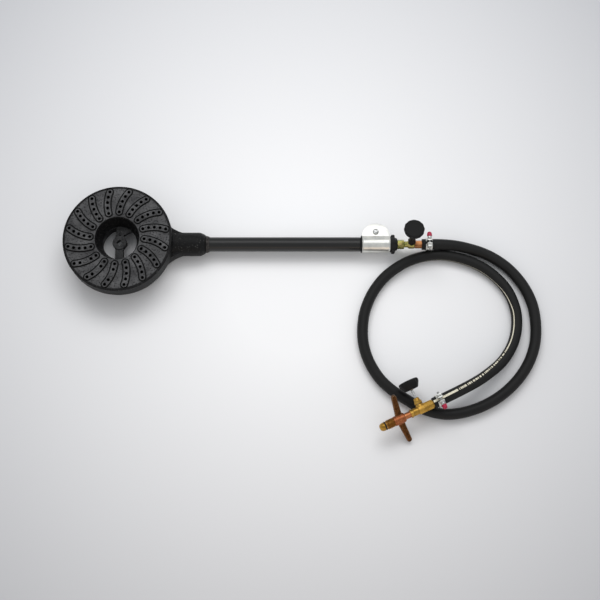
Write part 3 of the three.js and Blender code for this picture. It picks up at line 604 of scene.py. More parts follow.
def finish(piece, name, place, body, slot, material, *nodes):
    """Names the piece, puts it in place and hands it to its body and material."""
    piece.name = name
    moved(piece, place)
    select_only(piece)
    bpy.ops.object.shade_smooth_by_angle(angle=SMOOTH_ANGLE)
    piece.data.materials.clear()
    piece.data.materials.append(material)
    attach(piece, body)
    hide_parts(*nodes)
    return piece


# ---------- hose ----------

HOSE_DIAMETER = 16.0
HOSE_ROUTE = [
    (462, 0, 18.5), (478, 0, 17.6), (498, -1.3, 15.2), (519, -5, 11.6), (539, -11, 8.9),
    (558, -21, 8.1), (577.5, -37, 8.1), (595.5, -60.5, 8.1), (607.5, -89, 8.1),
    (611, -121, 8.1), (607, -153, 8.1), (593.5, -184, 8.1), (571, -211.5, 8.1),
    (542, -233, 8.1), (508, -247, 8.1), (474, -251.5, 8.1), (442, -243.5, 8.1),
    (419.5, -230.5, 8.1), (398, -216, 8.1), (380, -198, 8.1), (366, -174, 8.1),
    (358.6, -148.5, 8.1), (357.8, -121.5, 8.1), (363, -94.5, 8.1), (376, -67, 8.1),
    (397.5, -42, 8.1), (431, -21.3, 8.1), (470, -13.3, 8.1), (508, -19.6, 8.1),
    (543, -36.8, 8.1), (569.5, -64, 8.1), (581.8, -94, 8.1), (583, -122, 8.2),
    (575.5, -149.5, 9.6), (558.5, -175.5, 13), (534, -196.5, 18.2), (509.5, -212, 23.2),
]
FITTING_NOSE_WAY = fitting_place.to_3x3() @ Vector((1, 0, 0))
HOSE_END_SETBACK = 19.8
HOSE_STRAIGHT = 22
HOSE_SIDES = 36
HOSE_STEP = 2.6

# the printed line, as (millimetres before the hose's end, degrees inwards from the top, width)
PRINT_LINE = [
    (420, 84, 0.0), (335, 80, 0.5), (262, 72, 0.7), (205, 40, 1.5), (150, 37, 1.9),
    (120, 40, 2.4), (80, 24, 3.0), (40, 14, 3.4), (0, 10, 3.4),
]
PRINT_MARKS = (38, 143)         # the stretch where the line is broken into plain marks
PRINT_MARK_LENGTH = 2.4


def smooth_path(points, step_mm):
    """Points about step_mm apart on a smooth curve through the given ones."""
    whole = [points[0] * 2 - points[1]] + points + [points[-1] * 2 - points[-2]]
    path = []
    for a, b, c, d in zip(whole, whole[1:], whole[2:], whole[3:]):
        pieces = max(2, round((c - b).length / step_mm))
        for i in range(pieces):
            t = i / pieces
            path.append(0.5 * (
                2 * b
                + (c - a) * t
                + (2 * a - 5 * b + 4 * c - d) * t ** 2
                + (3 * b - a - 3 * c + d) * t ** 3
            ))
    return path + [points[-1]]


def hose_points():
    start = Vector((446.6, 0, arm_height))
    corner = Vector((437.7, -247.1, 27))
    end = corner - FITTING_NOSE_WAY * HOSE_END_SETBACK
    route = [start] + [Vector(p) for p in HOSE_ROUTE] + [end - FITTING_NOSE_WAY * HOSE_STRAIGHT, end]
    return [p + Vector((head_x, 0, 0)) for p in route]


def hose_tube(path):
    """A tube round the path. Its map runs along the hose in millimetres and once round it, in degrees
    from its top towards the inside of its bends, with the seam underneath."""
    rings = []
    lengths = [0]
    for i, point in enumerate(path):
        way = (path[min(i + 1, len(path) - 1)] - path[max(i - 1, 0)]).normalized()
        up = (Vector((0, 0, 1)) - way * way.z).normalized()
        inwards = way.cross(up)
        angles = [math.radians(360 * k / HOSE_SIDES - 180) for k in range(HOSE_SIDES)]
        rings.append([(point + (up * math.cos(a) + inwards * math.sin(a)) * HOSE_DIAMETER / 2) * MM for a in angles])
        if i:
            lengths.append(lengths[-1] + (point - path[i - 1]).length)
    verts = [v for ring in rings for v in ring]
    first, last = len(verts), len(verts) + 1
    verts += [path[0] * MM, path[-1] * MM]
    faces = []
    marks = []
    for i in range(len(path) - 1):
        for k in range(HOSE_SIDES):
            n = (k + 1) % HOSE_SIDES
            faces.append((i * HOSE_SIDES + k, i * HOSE_SIDES + n, (i + 1) * HOSE_SIDES + n, (i + 1) * HOSE_SIDES + k))
            left, right = 360 * k / HOSE_SIDES - 180, 360 * (k + 1) / HOSE_SIDES - 180
            marks.append([(lengths[i], left), (lengths[i], right), (lengths[i + 1], right), (lengths[i + 1], left)])
    base = (len(path) - 1) * HOSE_SIDES
    for k in range(HOSE_SIDES):
        n = (k + 1) % HOSE_SIDES
        faces.append((k, first, n))
        marks.append([(0, 180)] * 3)
        faces.append((base + k, base + n, last))
        marks.append([(lengths[-1], 180)] * 3)
    mesh = bpy.data.meshes.new("gas_hose_rubber")
    mesh.from_pydata(verts, [], faces)
    along = mesh.uv_layers.new(name="along_hose")
    for polygon, corners in zip(mesh.polygons, marks):
        for loop, corner in zip(polygon.loop_indices, corners):
            along.data[loop].uv = corner
    mesh.update()
    tube = bpy.data.objects.new("gas_hose_rubber", mesh)
    bpy.context.scene.collection.objects.link(tube)
    return tube, lengths[-1]


# Extruded black hose rubber, satin, with a cream line printed along it.
def hose_rubber(length):
    material = new_material("extruded_hose_rubber", "#151515", 0, 0.5)
    material.node_tree.nodes["Principled BSDF"].inputs["Specular IOR Level"].default_value = 0.25
    print_map = add_node(material, "ShaderNodeUVMap", uv_map="along_hose").outputs["UV"]
    parts = add_node(material, "ShaderNodeSeparateXYZ", {0: print_map})
    before_end = add_node(material, "ShaderNodeMath", {0: length, 1: parts.outputs["X"]}, operation="SUBTRACT").outputs[0]
    reach = PRINT_LINE[0][0]
    share = add_node(material, "ShaderNodeMath", {0: before_end, 1: reach}, operation="DIVIDE", use_clamp=True).outputs[0]
    ramp = add_node(material, "ShaderNodeValToRGB", {"Fac": share})
    elements = ramp.color_ramp.elements
    stops = sorted((away / reach, angle / 90, width / 4) for away, angle, width in PRINT_LINE)
    while len(elements) < len(stops):
        elements.new(0.5)
    for element, (place, angle, width) in zip(elements, stops):
        element.position = place
        element.color = (angle, width, 0, 1)
    line_parts = add_node(material, "ShaderNodeSeparateColor", {0: ramp.outputs["Color"]})
    centre = add_node(material, "ShaderNodeMath", {0: line_parts.outputs["Red"], 1: 90.0}, operation="MULTIPLY").outputs[0]
    degrees_per_mm = 360 / (math.pi * HOSE_DIAMETER)
    half_width = add_node(material, "ShaderNodeMath", {
        0: line_parts.outputs["Green"],
        1: 4 * degrees_per_mm / 2,
    }, operation="MULTIPLY").outputs[0]
    aside = add_node(material, "ShaderNodeMath", {0: parts.outputs["Y"], 1: centre}, operation="SUBTRACT").outputs[0]
    aside = add_node(material, "ShaderNodeMath", {0: aside}, operation="ABSOLUTE").outputs[0]
    inside = add_node(material, "ShaderNodeMath", {0: aside, 1: half_width}, operation="LESS_THAN").outputs[0]
    beat = add_node(material, "ShaderNodeMath", {0: before_end, 1: 1 / PRINT_MARK_LENGTH}, operation="MULTIPLY").outputs[0]
    marks = add_node(material, "ShaderNodeTexNoise", {"W": beat, "Scale": 1.0, "Detail": 1}, noise_dimensions="1D")
    printed = add_node(material, "ShaderNodeMath", {0: marks.outputs["Fac"], 1: 0.48}, operation="GREATER_THAN").outputs[0]
    near = add_node(material, "ShaderNodeMath", {0: before_end, 1: PRINT_MARKS[0]}, operation="LESS_THAN").outputs[0]
    far = add_node(material, "ShaderNodeMath", {0: before_end, 1: PRINT_MARKS[1]}, operation="GREATER_THAN").outputs[0]
    whole = add_node(material, "ShaderNodeMath", {0: near, 1: far}, operation="MAXIMUM").outputs[0]
    whole = add_node(material, "ShaderNodeMath", {0: whole, 1: printed}, operation="MAXIMUM").outputs[0]
    ink = add_node(material, "ShaderNodeMath", {0: inside, 1: whole}, operation="MULTIPLY").outputs[0]
    where = coordinates(material)
    grain = grains(material, where, 0.8, 3)
    scuffs = grains(material, where, 12, 4)
    colour = mix_colours(material, spread(material, scuffs, 0, 1), "#0e0e0e", "#171717")
    worn_ink = mix_colours(material, spread(material, grain, 0, 1), "#b9b3a0", "#e6e0cc")
    to_shader(material, "Base Color", mix_colours(material, ink, colour, worn_ink))
    to_shader(material, "Roughness", spread(material, scuffs, 0.46, 0.6))
    to_shader(material, "Normal", bumps(material, grain, 0.06, 0.5))
    return material


hose_path = smooth_path(hose_points(), HOSE_STEP)
gas_hose, hose_length = hose_tube(hose_path)
select_only(gas_hose)
bpy.ops.object.shade_smooth_by_angle(angle=SMOOTH_ANGLE)
gas_hose.data.materials.append(hose_rubber(hose_length))
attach(gas_hose, "burner")
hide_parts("gas_hose")

# ---------- finishes shared by several pieces ----------

IRON = cast_iron()
CASTING = black_casting()
PLATED = plated_steel()
YELLOW = yellow_zinc()
OXIDE = black_oxide()
KNOB = knob_plastic()
CAP = cap_plastic()
SEAL = seal_rubber()
ARM_BRASS = machined_brass("turned_yellow_brass", arm_place, "#c9a24e", "#93692a")
FITTING_BRASS = machined_brass("machined_yellow_brass", fitting_place, "#cfa552", "#96702e")
TAIL_BRONZE = machined_brass("turned_red_brass", arm_place, "#bf8458", "#7d4c2e")
SPINDLE_BRONZE = machined_brass("drawn_red_brass", fitting_place, "#cc8558", "#94532f")

# ---------- burner head ----------

PORT_SWIRLS = 16
PORTS_IN_SWIRL = 5
PORT_PITCH = 8.45
PORT_RADIUS = 2.15
FIRST_PORT = 39.6
SWIRL_BEND = 55
SWIRL_START = -3.2
SWIRL_PHASE = -2.4
BRIDGE_TOP = 26
BRIDGE_LOW = 20
OPENING_LOW = 25
OPENING_TOP = 32


def swirl_centre():
    start = math.radians(SWIRL_START)
    return Vector((FIRST_PORT + SWIRL_BEND * math.sin(start), -SWIRL_BEND * math.cos(start), 0))


def on_swirl(along):
    """Where the swirl's middle line is after so many millimetres, and which way its left side lies."""
    angle = math.radians(SWIRL_START + 90) - along / SWIRL_BEND
    side = Vector((math.cos(angle), math.sin(angle), 0))
    return swirl_centre() + side * SWIRL_BEND, side


def swirl_bar(name, section):
    """A bar along one swirl with round ends; the section lists (offset, height) of its right half."""
    length = (PORTS_IN_SWIRL - 1) * PORT_PITCH
    up = Vector((0, 0, 1))
    whole = section + [(-offset, height) for offset, height in reversed(section[:-1])]
    start, side = on_swirl(0)
    middle = line(name, [start - side * o + up * h for o, h in whole])
    bpy.ops.mesh.spin(steps=14, angle=length / SWIRL_BEND, center=swirl_centre() * MM, axis=(0, 0, 1))
    deselect()
    near = line("near", [start - side * o + up * h for o, h in section])
    bpy.ops.mesh.spin(steps=12, angle=math.pi, center=start * MM, axis=(0, 0, 1))
    deselect()
    end, side = on_swirl(length)
    far = line("far", [end + side * o + up * h for o, h in section])
    bpy.ops.mesh.spin(steps=12, angle=math.pi, center=end * MM, axis=(0, 0, 1))
    bar = joined([middle, near, far])
    bpy.ops.object.mode_set(mode="EDIT")
    tidy_skin()
    return bar


def round_the_head(piece):
    """Copies of one swirl's piece, all the way round the head."""
    step = 360 / PORT_SWIRLS
    ring = [copied(piece, turn("Z", SWIRL_PHASE + step * i)) for i in range(PORT_SWIRLS)]
    bpy.data.objects.remove(piece)
    return joined(ring)


def ridges_and_grooves():
    low, groove, top = HEAD_TOP - 3, HEAD_TOP - 1.1, HEAD_TOP + 1.2
    ridge = swirl_bar("ridge", [
        (0, low), (4.7, low), (4.6, groove), (4.35, top - 0.9), (4.1, top - 0.35), (3.6, top - 0.05), (0, top),
    ])
    furrow = swirl_bar("furrow", [
        (0, groove), (5.6, groove), (5.9, HEAD_TOP - 0.4), (6.2, HEAD_TOP + 0.15), (6.5, HEAD_TOP + 2), (0, HEAD_TOP + 2),
    ])
    return round_the_head(ridge), round_the_head(furrow)


def port_drills():
    """Drills for one swirl, each with a lip that rounds the port's edge."""
    top = HEAD_TOP + 1.2
    drills = []
    for i in range(PORTS_IN_SWIRL):
        place, _ = on_swirl(i * PORT_PITCH)
        drill = turned("drill", [
            (HEAD_TOP - 9, 0),
            (HEAD_TOP - 9, PORT_RADIUS),
            (top - 0.6, PORT_RADIUS),
            (top - 0.2, PORT_RADIUS + 0.12),
            (top + 0.02, PORT_RADIUS + 0.42),
            (top + 1, PORT_RADIUS + 0.42),
            (top + 1, 0),
        ], 16)
        drills.append(moved(drill, at(place.x, place.y)))
    return round_the_head(joined(drills))


def head_shell():
    return turned("shell", softened([
        (10, 26.5), (0, 28), (0, 62), (7.3, 71.6), (16.1, 77), (26, 79.5), (50, 79.5), (50, 32),
        (46, 30.9), (26, 25), (20, 25), (10, 26.5),
    ], 1.7, 4), 144)


def plenum():
    return turned("plenum", [
        (4, 32), (4, 60), (10.4, 69.5), (26, 75.5), (45, 75.5), (45, 36), (26, 29), (20, 29), (4, 32),
    ], 96)


def head_neck():
    """The socket for the arm, with the flare that joins it to the rim."""
    socket = turned("socket", softened([
        (37, 0), (37, 12), (65.5, 17.4), (77.5, 18.6), (84, 17.6), (95, 17.4), (119, 17.4), (127, 13.4), (127, 0),
    ], 2.2, 4), 96)
    moved(socket, at(0, 0, arm_height) @ LENGTHWISE)
    curve = []
    for i in range(9):
        t = i / 8
        curve.append((
            (1 - t) ** 2 * 68.4 + 2 * t * (1 - t) * 78.5 + t ** 2 * 95,
            (1 - t) ** 2 * 30.4 + 2 * t * (1 - t) * 19.4 + t ** 2 * 14.5,
        ))
    outline = curve + [(x, -y) for x, y in reversed(curve)]
    flare = bevelled(slab("flare", outline, arm_height - 11, arm_height + 10), 4.5, 4, 50)
    return welded(socket, flare)


def bridge():
    """The bar across the opening, its boss with a square bolt hole, a pip and the corner webs."""
    bar = bevelled(block("bar", (-6.25, -27, BRIDGE_LOW), (6.25, 27, BRIDGE_TOP)), 1.1, 3)
    boss = turned("boss", rod(BRIDGE_LOW - 1.6, BRIDGE_TOP + 1.6, 10.5), 64, 1.0)
    pip = moved(turned("pip", [(25, 0), (25, 2.3), (26.6, 2.0), (27.2, 1.2), (27.4, 0)], 24, 0.4), at(0, 13.1))
    web = slab("web", [
        (4.5, 11.5), (8, 12.5), (12.5, 15.4), (18, 18), (15, 22.6), (9.5, 25.4), (4.5, 26.5),
    ], BRIDGE_LOW + 0.2, BRIDGE_TOP - 0.3)
    side_web = slab("side_web", [
        (-26.6, 2), (-24.6, 8), (-21, 14), (-15, 19.5), (-8, 23), (-6, 26.4), (-16, 23.5), (-24, 14),
    ], BRIDGE_LOW + 0.3, BRIDGE_TOP - 0.4)
    solid = welded(bar, boss, pip, bevelled(web, 0.9, 2), side_web)
    hole = moved(block("hole", (-3.5, -3.5, 0), (3.5, 3.5, 50)), turn("Z", 45))
    return cut(solid, bevelled(hole, 0.5, 2))


def burner_head():
    middle = turned("middle", [(-1, 0), (-1, 29), (26, 26), (53, 34), (53, 0)], 96)
    neck = cut(head_neck(), middle)
    ridges, furrows = ridges_and_grooves()
    head = welded(head_shell(), neck)
    cut(head, plenum(), furrows)
    welded(head, ridges, bridge())
    cut(head, port_drills())
    gas_way = moved(bore(39, 130, 8.35), at(0, 0, arm_height) @ LENGTHWISE)
    seat = moved(turned("seat", [(106.7, 0), (106.7, 10.95), (126.6, 10.95), (128, 11.8), (128, 0)]),
                 at(0, 0, arm_height) @ LENGTHWISE)
    cut(head, gas_way, seat)
    return finish(head, "ring_casting", head_place, "burner", "cast_iron", IRON, "burner_head")


def socket_weld():
    bead = turned("bead", softened([
        (129, 10.95), (127.3, 10.95), (127.3, 13.1), (129.6, 12.5), (132.3, 11.2), (132.3, 10.95), (129, 10.95),
    ], 0.7, 3), 120)
    ripple = bpy.data.textures.new("weld_ripple", "CLOUDS")
    ripple.noise_scale = 3.2 * MM
    modifier = bead.modifiers.new("ripple", "DISPLACE")
    modifier.texture = ripple
    modifier.texture_coords = "LOCAL"
    modifier.strength = 0.5 * MM
    modifier.mid_level = 0.75
    select_only(bead)
    bpy.ops.object.modifier_apply(modifier=modifier.name)
    return finish(bead, "weld_bead", arm_place @ LENGTHWISE, "burner", "cast_iron", weld_scale(), "socket_weld")


# ---------- arm, mixer and shutter ----------

MIXER_START = 355
SHUTTER_START = 357.9
SHUTTER_END = 399.2
SHUTTER_MIDDLE = (SHUTTER_START + SHUTTER_END) / 2
SHUTTER_RADIUS = 12.3
SCREW_REACH = 19
EAR_SPREAD = 20.4
EAR_CENTRE = 13
EAR_RADIUS = 19


def arm_tube():
    tube = turned("tube", sleeve(107, MIXER_START - 0.3, 8.35, 10.65), 96, 0.5)
    return finish(tube, "enamelled_pipe", arm_place @ LENGTHWISE, "burner", "black_paint", gloss_enamel(), "arm_tube")


def air_window(top):
    return block("window", (SHUTTER_MIDDLE - 11, -5.5, -15), (SHUTTER_MIDDLE + 11, 5.5, top))


def mixer_body():
    casting = turned("casting", softened([
        (350, 6.45), (343, 6.45), (343, 8.05), (355, 8.05), (355, 10.6), (356.3, 10.6), (356.3, 12.9), (357.6, 12.9), (357.6, 11),
        (399.5, 11), (399.8, 11.9), (406.6, 10.2), (410, 8.4), (410, 4.3), (397.5, 4.3), (397.5, 8),
        (359, 8), (353, 6.45), (350, 6.45),
    ], 0.6), 96)
    moved(casting, LENGTHWISE)
    lugs = bevelled(block("lugs", (400.5, -14, -5), (406.5, 14, 5)), 2.2, 4)
    lugs = cut(lugs, moved(bore(399, 408, 9), LENGTHWISE))
    casting = cut(welded(casting, lugs), air_window(-5))
    return finish(casting, "mixer_casting", arm_place, "burner", "black_casting", CASTING, "mixer_body")


def air_shutter():
    """The sheet band with rolled edges, split on top, its ends turned out as two half-round ears."""
    rolled = [
        (SHUTTER_START, 11.5), (SHUTTER_START, 12.5), (SHUTTER_START + 0.5, 12.95), (SHUTTER_START + 1.3, 12.9),
        (SHUTTER_START + 2, SHUTTER_RADIUS),
    ]
    band = turned("band", softened(
        [(SHUTTER_MIDDLE, 10.5), (SHUTTER_START, 10.5)] + rolled
        + [(SHUTTER_START + SHUTTER_END - z, r) for z, r in reversed(rolled)]
        + [(SHUTTER_END, 10.5), (SHUTTER_MIDDLE, 10.5)], 0.25, 2), 120)
    moved(band, LENGTHWISE)
    outline = [(SHUTTER_MIDDLE - EAR_SPREAD, 9.3)]
    for i in range(41):
        angle = math.pi * (1 - i / 40)
        outline.append((SHUTTER_MIDDLE + EAR_SPREAD * math.cos(angle), EAR_CENTRE + EAR_RADIUS * math.sin(angle)))
    outline.append((SHUTTER_MIDDLE + EAR_SPREAD, 9.3))
    ears = bevelled(slab("ears", outline, -2.2, 2.2), 0.3, 2, 50)
    shutter = welded(band, ears)
    split = block("split", (SHUTTER_START - 1, 0, -1.2), (SHUTTER_END + 1, 34, 1.2))
    hollow = moved(bore(SHUTTER_START - 1, SHUTTER_END + 1, 11.3, 120), LENGTHWISE)
    hole = moved(bore(-10, 10, 2.3), at(SHUTTER_MIDDLE, SCREW_REACH))
    window = bevelled(air_window(0), 2, 3, 80)
    cut(shutter, hollow, split, window, hole)
    sheet = zinc_sheet("zinc_plated_sheet", arm_place)
    return finish(shutter, "shutter_sheet", arm_place, "shutter", "zinc_sheet", sheet, "air_shutter")


def shutter_screw():
    screw = turned("screw", [(-7.5, 0), (-7.5, 1.4)] + screw_thread(-7.3, 2.2, 1.7, 2, 0.8) + softened([
        (2.3, 1.9), (2.5, 2.0), (2.5, 4.4), (3.6, 4.4), (4.6, 3.4), (5.1, 1.6), (5.1, 0),
    ], 0.5, 3), 48)
    cut(screw, moved(block("slot", (-6, -0.55, 4.1), (6, 0.55, 7)), turn("Z", 35)))
    place = arm_place @ at(SHUTTER_MIDDLE, SCREW_REACH)
    return finish(screw, "shutter_pan_screw", place, "shutter_bolt", "bright_steel", PLATED, "shutter_screw")


def shutter_nut():
    nut = cut(hexagon("nut", 7.2, -5.5, -2.5), bore(-8, 0, 2.3))
    place = arm_place @ at(SHUTTER_MIDDLE, SCREW_REACH)
    return finish(nut, "shutter_hex_nut", place, "shutter", "bright_steel", PLATED, "shutter_nut")


# ---------- gas line and needle valves ----------


def gas_jet():
    jet = turned("jet", softened([
        (400, 2.5), (409.7, 2.5), (409.7, 4), (397, 3.3), (393.7, 1.6), (393.7, 0.6), (396.2, 0.6), (397.7, 2.5),
        (400, 2.5),
    ], 0.3, 2), 48)
    return finish(jet, "turned_jet", arm_place @ LENGTHWISE, "burner", "brass", ARM_BRASS, "gas_jet")


def inlet_nipple():
    nipple = cut(hexagon("nipple", 12.6, 410.3, 420.2), bore(409, 422, 2.5))
    return finish(nipple, "nipple_hex", arm_place @ LENGTHWISE, "burner", "yellow_zinc", YELLOW, "inlet_nipple")


def valve_ways(piece, back, front, top):
    """Cuts the gas way along the body and the stem's bore down from its boss."""
    lengthwise = LENGTHWISE
    return cut(
        piece,
        bore(-2.5, top + 1, 2.25, 32),
        moved(bore(-back - 1, -3.5, 2.5, 32), lengthwise),
        moved(bore(3.5, front + 1, 2.5, 32), lengthwise),
    )


def valve_body():
    line_piece = moved(turned("line", softened([
        (-10.5, 0), (-10.5, 4.5), (-6.2, 4.4), (-3.4, 6.3), (3.7, 6.3), (4.5, 5.5), (4.5, 0),
    ], 0.6), 72), LENGTHWISE)
    boss = turned("boss", [(0, 0), (0, 4.6), (7.5, 4.6), (7.5, 0)], 64, 0.4)
    body = valve_ways(welded(line_piece, boss), 10.5, 4.5, 7.5)
    return finish(body, "arm_valve_block", arm_valve_place, "burner", "yellow_zinc", YELLOW, "valve_body_1")


def packing(number, boss_top, place):
    ring = turned("ring", sleeve(boss_top + 0.3, boss_top + 1.9, 2.25, 3.55), 48, 0.3)
    return finish(ring, f"packing_ring_{number}", place, "burner", "seal_rubber", SEAL, f"stem_packing_{number}")


def gland(number, boss_top, reach, neck, place, slot, material):
    foot = boss_top + 0.3
    nut = hexagon("gland", 11, foot, foot + 4.2)
    collar = turned("neck", softened([
        (foot + 3, 0), (foot + 3, neck + 0.9), (foot + 4.6, neck + 0.9), (foot + 5.6, neck + 0.3),
        (reach - 1.5, neck), (reach, neck - 0.8), (reach, 0),
    ], 0.5), 64)
    cut(welded(nut, collar), bore(foot - 1, foot + 2.2, 3.85, 40), bore(foot, reach + 1, 2.25, 40))
    return finish(nut, f"gland_hex_{number}", place, "burner", slot, material, f"gland_nut_{number}")


def needle(number, knob_reach, place):
    stem = turned("stem", softened([(-1.6, 0), (-1.6, 0.5), (1.8, 1.95), (knob_reach + 8.4, 1.95), (knob_reach + 8.4, 0)],
                                   0.4), 48)
    return finish(stem, f"needle_rod_{number}", place, f"stem_{number}", "bright_steel", PLATED, f"needle_stem_{number}")


def knob_blank(reach):
    """A tapered round blank with twelve shallow flutes and a crowned top."""
    ring = []
    for i in range(144):
        angle = FULL_TURN * i / 144
        dip = 0.9 * (0.5 - 0.5 * math.cos(12 * angle)) ** 1.4
        ring.append(((15 - dip) * math.cos(angle), (15 - dip) * math.sin(angle)))
    blank = slab("blank", ring, reach, reach + 14)
    taper = turned("taper", softened([
        (reach, 0), (reach, 10.2), (reach + 8.4, 14.9), (reach + 11.6, 15.1), (reach + 13.3, 13.6),
        (reach + 13.9, 10), (reach + 14, 6), (reach + 14, 0),
    ], 1.4, 4), 144)
    return combined(blank, taper, "INTERSECT")


def knob(number, reach, place):
    blank = knob_blank(reach)
    recess = turned("recess", [
        (reach - 1, 6), (reach - 1, 8.5), (reach + 3.6, 8.5), (reach + 4, 8), (reach + 4, 6), (reach - 1, 6),
    ], 64)
    cut(blank, recess, bore(reach - 1, reach + 11, 3.9, 40))
    slot = "knob_plastic"
    return finish(blank, f"fluted_knob_{number}", place, f"hand_knob_{number}", slot, KNOB, f"knob_{number}")


def knob_insert(number, reach, place):
    top = reach + 10.7
    insert = turned("insert", softened([
        (reach + 3, 2.25), (reach, 2.25), (reach, 3.6), (top, 3.6), (top, 0), (top - 2, 0), (top - 2, 2.25),
        (reach + 3, 2.25),
    ], 0.3, 2), 48)
    body = f"hand_knob_{number}"
    return finish(insert, f"moulded_in_insert_{number}", place, body, "brass", ARM_BRASS, f"knob_insert_{number}")


def valve_top(number, boss_top, gland_reach, neck, knob_reach, place, slot, material):
    packing(number, boss_top, place)
    gland(number, boss_top, gland_reach, neck, place, slot, material)
    needle(number, knob_reach, place)
    knob(number, knob_reach, place)
    knob_insert(number, knob_reach, place)


def hose_tail(number, hex_length, place, slot, material):
    barbs = [(0.5, 0), (0.5, 3.7)]
    for i in range(3):
        barbs += [(hex_length + i * 22 / 3 + 0.1, 4.3), (hex_length + (i + 1) * 22 / 3, 3.7)]
    barbs.append((hex_length + 22, 0))
    tail = turned("tail", barbs, 64, 0.25)
    if hex_length > 5:
        welded(tail, hexagon("hex", 10.8, 0, hex_length))
    else:
        welded(tail, turned("collar", rod(0, hex_length, 5.4), 64, 0.3))
    cut(tail, bore(-1, hex_length + 24, 2.5, 40))
    return finish(tail, f"barbed_tail_{number}", place @ LENGTHWISE, "burner", slot, material, f"hose_tail_{number}")


# ---------- hose clamps: hose along X, screw along Y above it ----------

CLAMP_SCREW_HEIGHT = 12.7


def clamp_hole():
    return moved(bore(-20, 20, 2, 32), at(0, 0, CLAMP_SCREW_HEIGHT) @ turn("X", 90))


def clamp_band(number, place, material):
    edge = [(-5, 8.3), (-5, 9.3), (-4.4, 9.85), (-3.6, 9.8), (-2.8, 9.2)]
    profile = [(0, 8.3)] + edge + [(-z, r) for z, r in reversed(edge)] + [(0, 8.3)]
    band = moved(turned("band", softened(profile, 0.3, 2), 96), LENGTHWISE)
    ears = bevelled(block("ears", (-4, -4.4, 7.9), (4, 4.4, 16.3)), 1.1, 3)
    band = welded(band, ears)
    cut(
        band,
        moved(bore(-10, 10, 8.3, 96), LENGTHWISE),
        block("slit", (-10, -2, 0), (10, 2, 18)),
        clamp_hole(),
    )
    return finish(band, f"clamp_strap_{number}", place, "burner", "zinc_sheet", material, f"clamp_band_{number}")


def clamp_nut(number, place, material):
    nut = bevelled(block("nut", (-3.2, -8, CLAMP_SCREW_HEIGHT - 3.2), (3.2, -4.7, CLAMP_SCREW_HEIGHT + 3.2)), 0.5, 2)
    cut(nut, clamp_hole())
    return finish(nut, f"clamp_square_nut_{number}", place, "burner", "zinc_sheet", material, f"clamp_nut_{number}")


def clamp_screw(number, place):
    profile = [(-11, 0), (-11, 1.2)] + screw_thread(-10.8, 4.4, 1.4, 1.7, 0.8) + softened([
        (4.5, 1.6), (4.7, 1.7), (4.7, 3.2), (8.3, 3.2), (8.3, 2), (13, 2), (13, 0),
    ], 0.3, 2)
    screw = turned("screw", profile, 40)
    return finish(screw, f"clamp_pinch_screw_{number}", place, f"clamp_bolt_{number}", "bright_steel", PLATED,
                  f"clamp_screw_{number}")


def clamp_cap(number, place):
    start = 8.6
    cap = turned("cap", softened([
        (start + 3, 2.3), (start, 2.3), (start, 3.8), (start + 4.6, 3.5), (start + 6.4, 2.4), (start + 7, 0.8),
        (start + 7, 0), (13.3, 0), (13.3, 2.3), (start + 3, 2.3),
    ], 0.7, 3), 56)
    return finish(cap, f"clamp_dipped_cap_{number}", place, f"clamp_bolt_{number}", "red_plastic", CAP,
                  f"clamp_cap_{number}")


def hose_clamp(number, place):
    material = zinc_sheet(f"zinc_plated_strap_{number}", place)
    clamp_band(number, place, material)
    clamp_nut(number, place, material)
    screw_place = place @ at(0, 0, CLAMP_SCREW_HEIGHT) @ turn("X", -90)
    clamp_screw(number, screw_place)
    clamp_cap(number, screw_place)


# ---------- cylinder fitting: nose along X, branch along its valve's Z ----------


def tee_body():
    bar = moved(hexagon("bar", 13, -18, 4.5, 64), LENGTHWISE)
    sleeve_end = moved(turned("front", softened([(0, 0), (0, 5.6), (12, 5.6), (12, 0)], 0.5), 72), LENGTHWISE)
    boss = turned("boss", softened([(0, 0), (0, 6.4), (5.5, 5.7), (8, 4.9), (8, 0)], 0.6), 72)
    tee = valve_ways(welded(bar, sleeve_end, boss), 18, 12, 8)
    return finish(tee, "forged_tee", end_valve_place, "burner", "brass", FITTING_BRASS, "tee_body")


def spindle_collar():
    collar = turned("collar", softened([
        (14, 4.95), (12.3, 4.95), (12.3, 5.5), (14.5, 5.5), (14.5, 6.2), (16.7, 6.2), (16.7, 4.95), (14, 4.95),
    ], 0.35, 3), 72)
    return finish(collar, "turned_collar", fitting_place @ LENGTHWISE, "burner", "brass", FITTING_BRASS,
                  "spindle_collar")


def spindle():
    tube = turned("tube", sleeve(12.3, 54.8, 2.6, 4.65), 64, 0.3)
    return finish(tube, "drawn_spindle", fitting_place @ LENGTHWISE, "burner", "bronze", SPINDLE_BRONZE, "spindle")


def spindle_nose():
    start = 55.4
    nose = turned("nose", softened([
        (start + 4, 1.9), (start, 1.9), (start, 4.8), (start + 1.8, 4.8), (start + 1.8, 6), (start + 4.6, 6),
        (start + 7, 5.4), (start + 8.8, 4), (start + 9.4, 3), (start + 9.4, 1.9), (start + 4, 1.9),
    ], 0.7, 3), 72)
    return finish(nose, "domed_nose", fitting_place @ LENGTHWISE, "burner", "brass", FITTING_BRASS, "spindle_nose")


def nose_seal():
    ring = turned("ring", sleeve(55.6, 56.9, 5.1, 6.3), 56, 0.4)
    return finish(ring, "nose_seal_ring", fitting_place @ LENGTHWISE, "burner", "seal_rubber", SEAL, "nose_seal")


def wing(side):
    """One wing: a tapered bar with a round tip, standing out along Y."""
    outline = [(-5.4, 3.5), (-4.6, 12), (-3.7, 36.2)]
    for i in range(1, 12):
        angle = math.pi * (1 - i / 12)
        outline.append((3.6 * math.cos(angle), 36.2 + 3.6 * math.sin(angle)))
    outline += [(3.7, 36.2), (4.6, 12), (5.4, 3.5)]
    bar = bevelled(slab("wing", outline, -2.5, 2.5), 0.95, 3, 50)
    moved(bar, turn("Z", 5))
    if side < 0:
        moved(bar, turn("X", 180))
    return bar


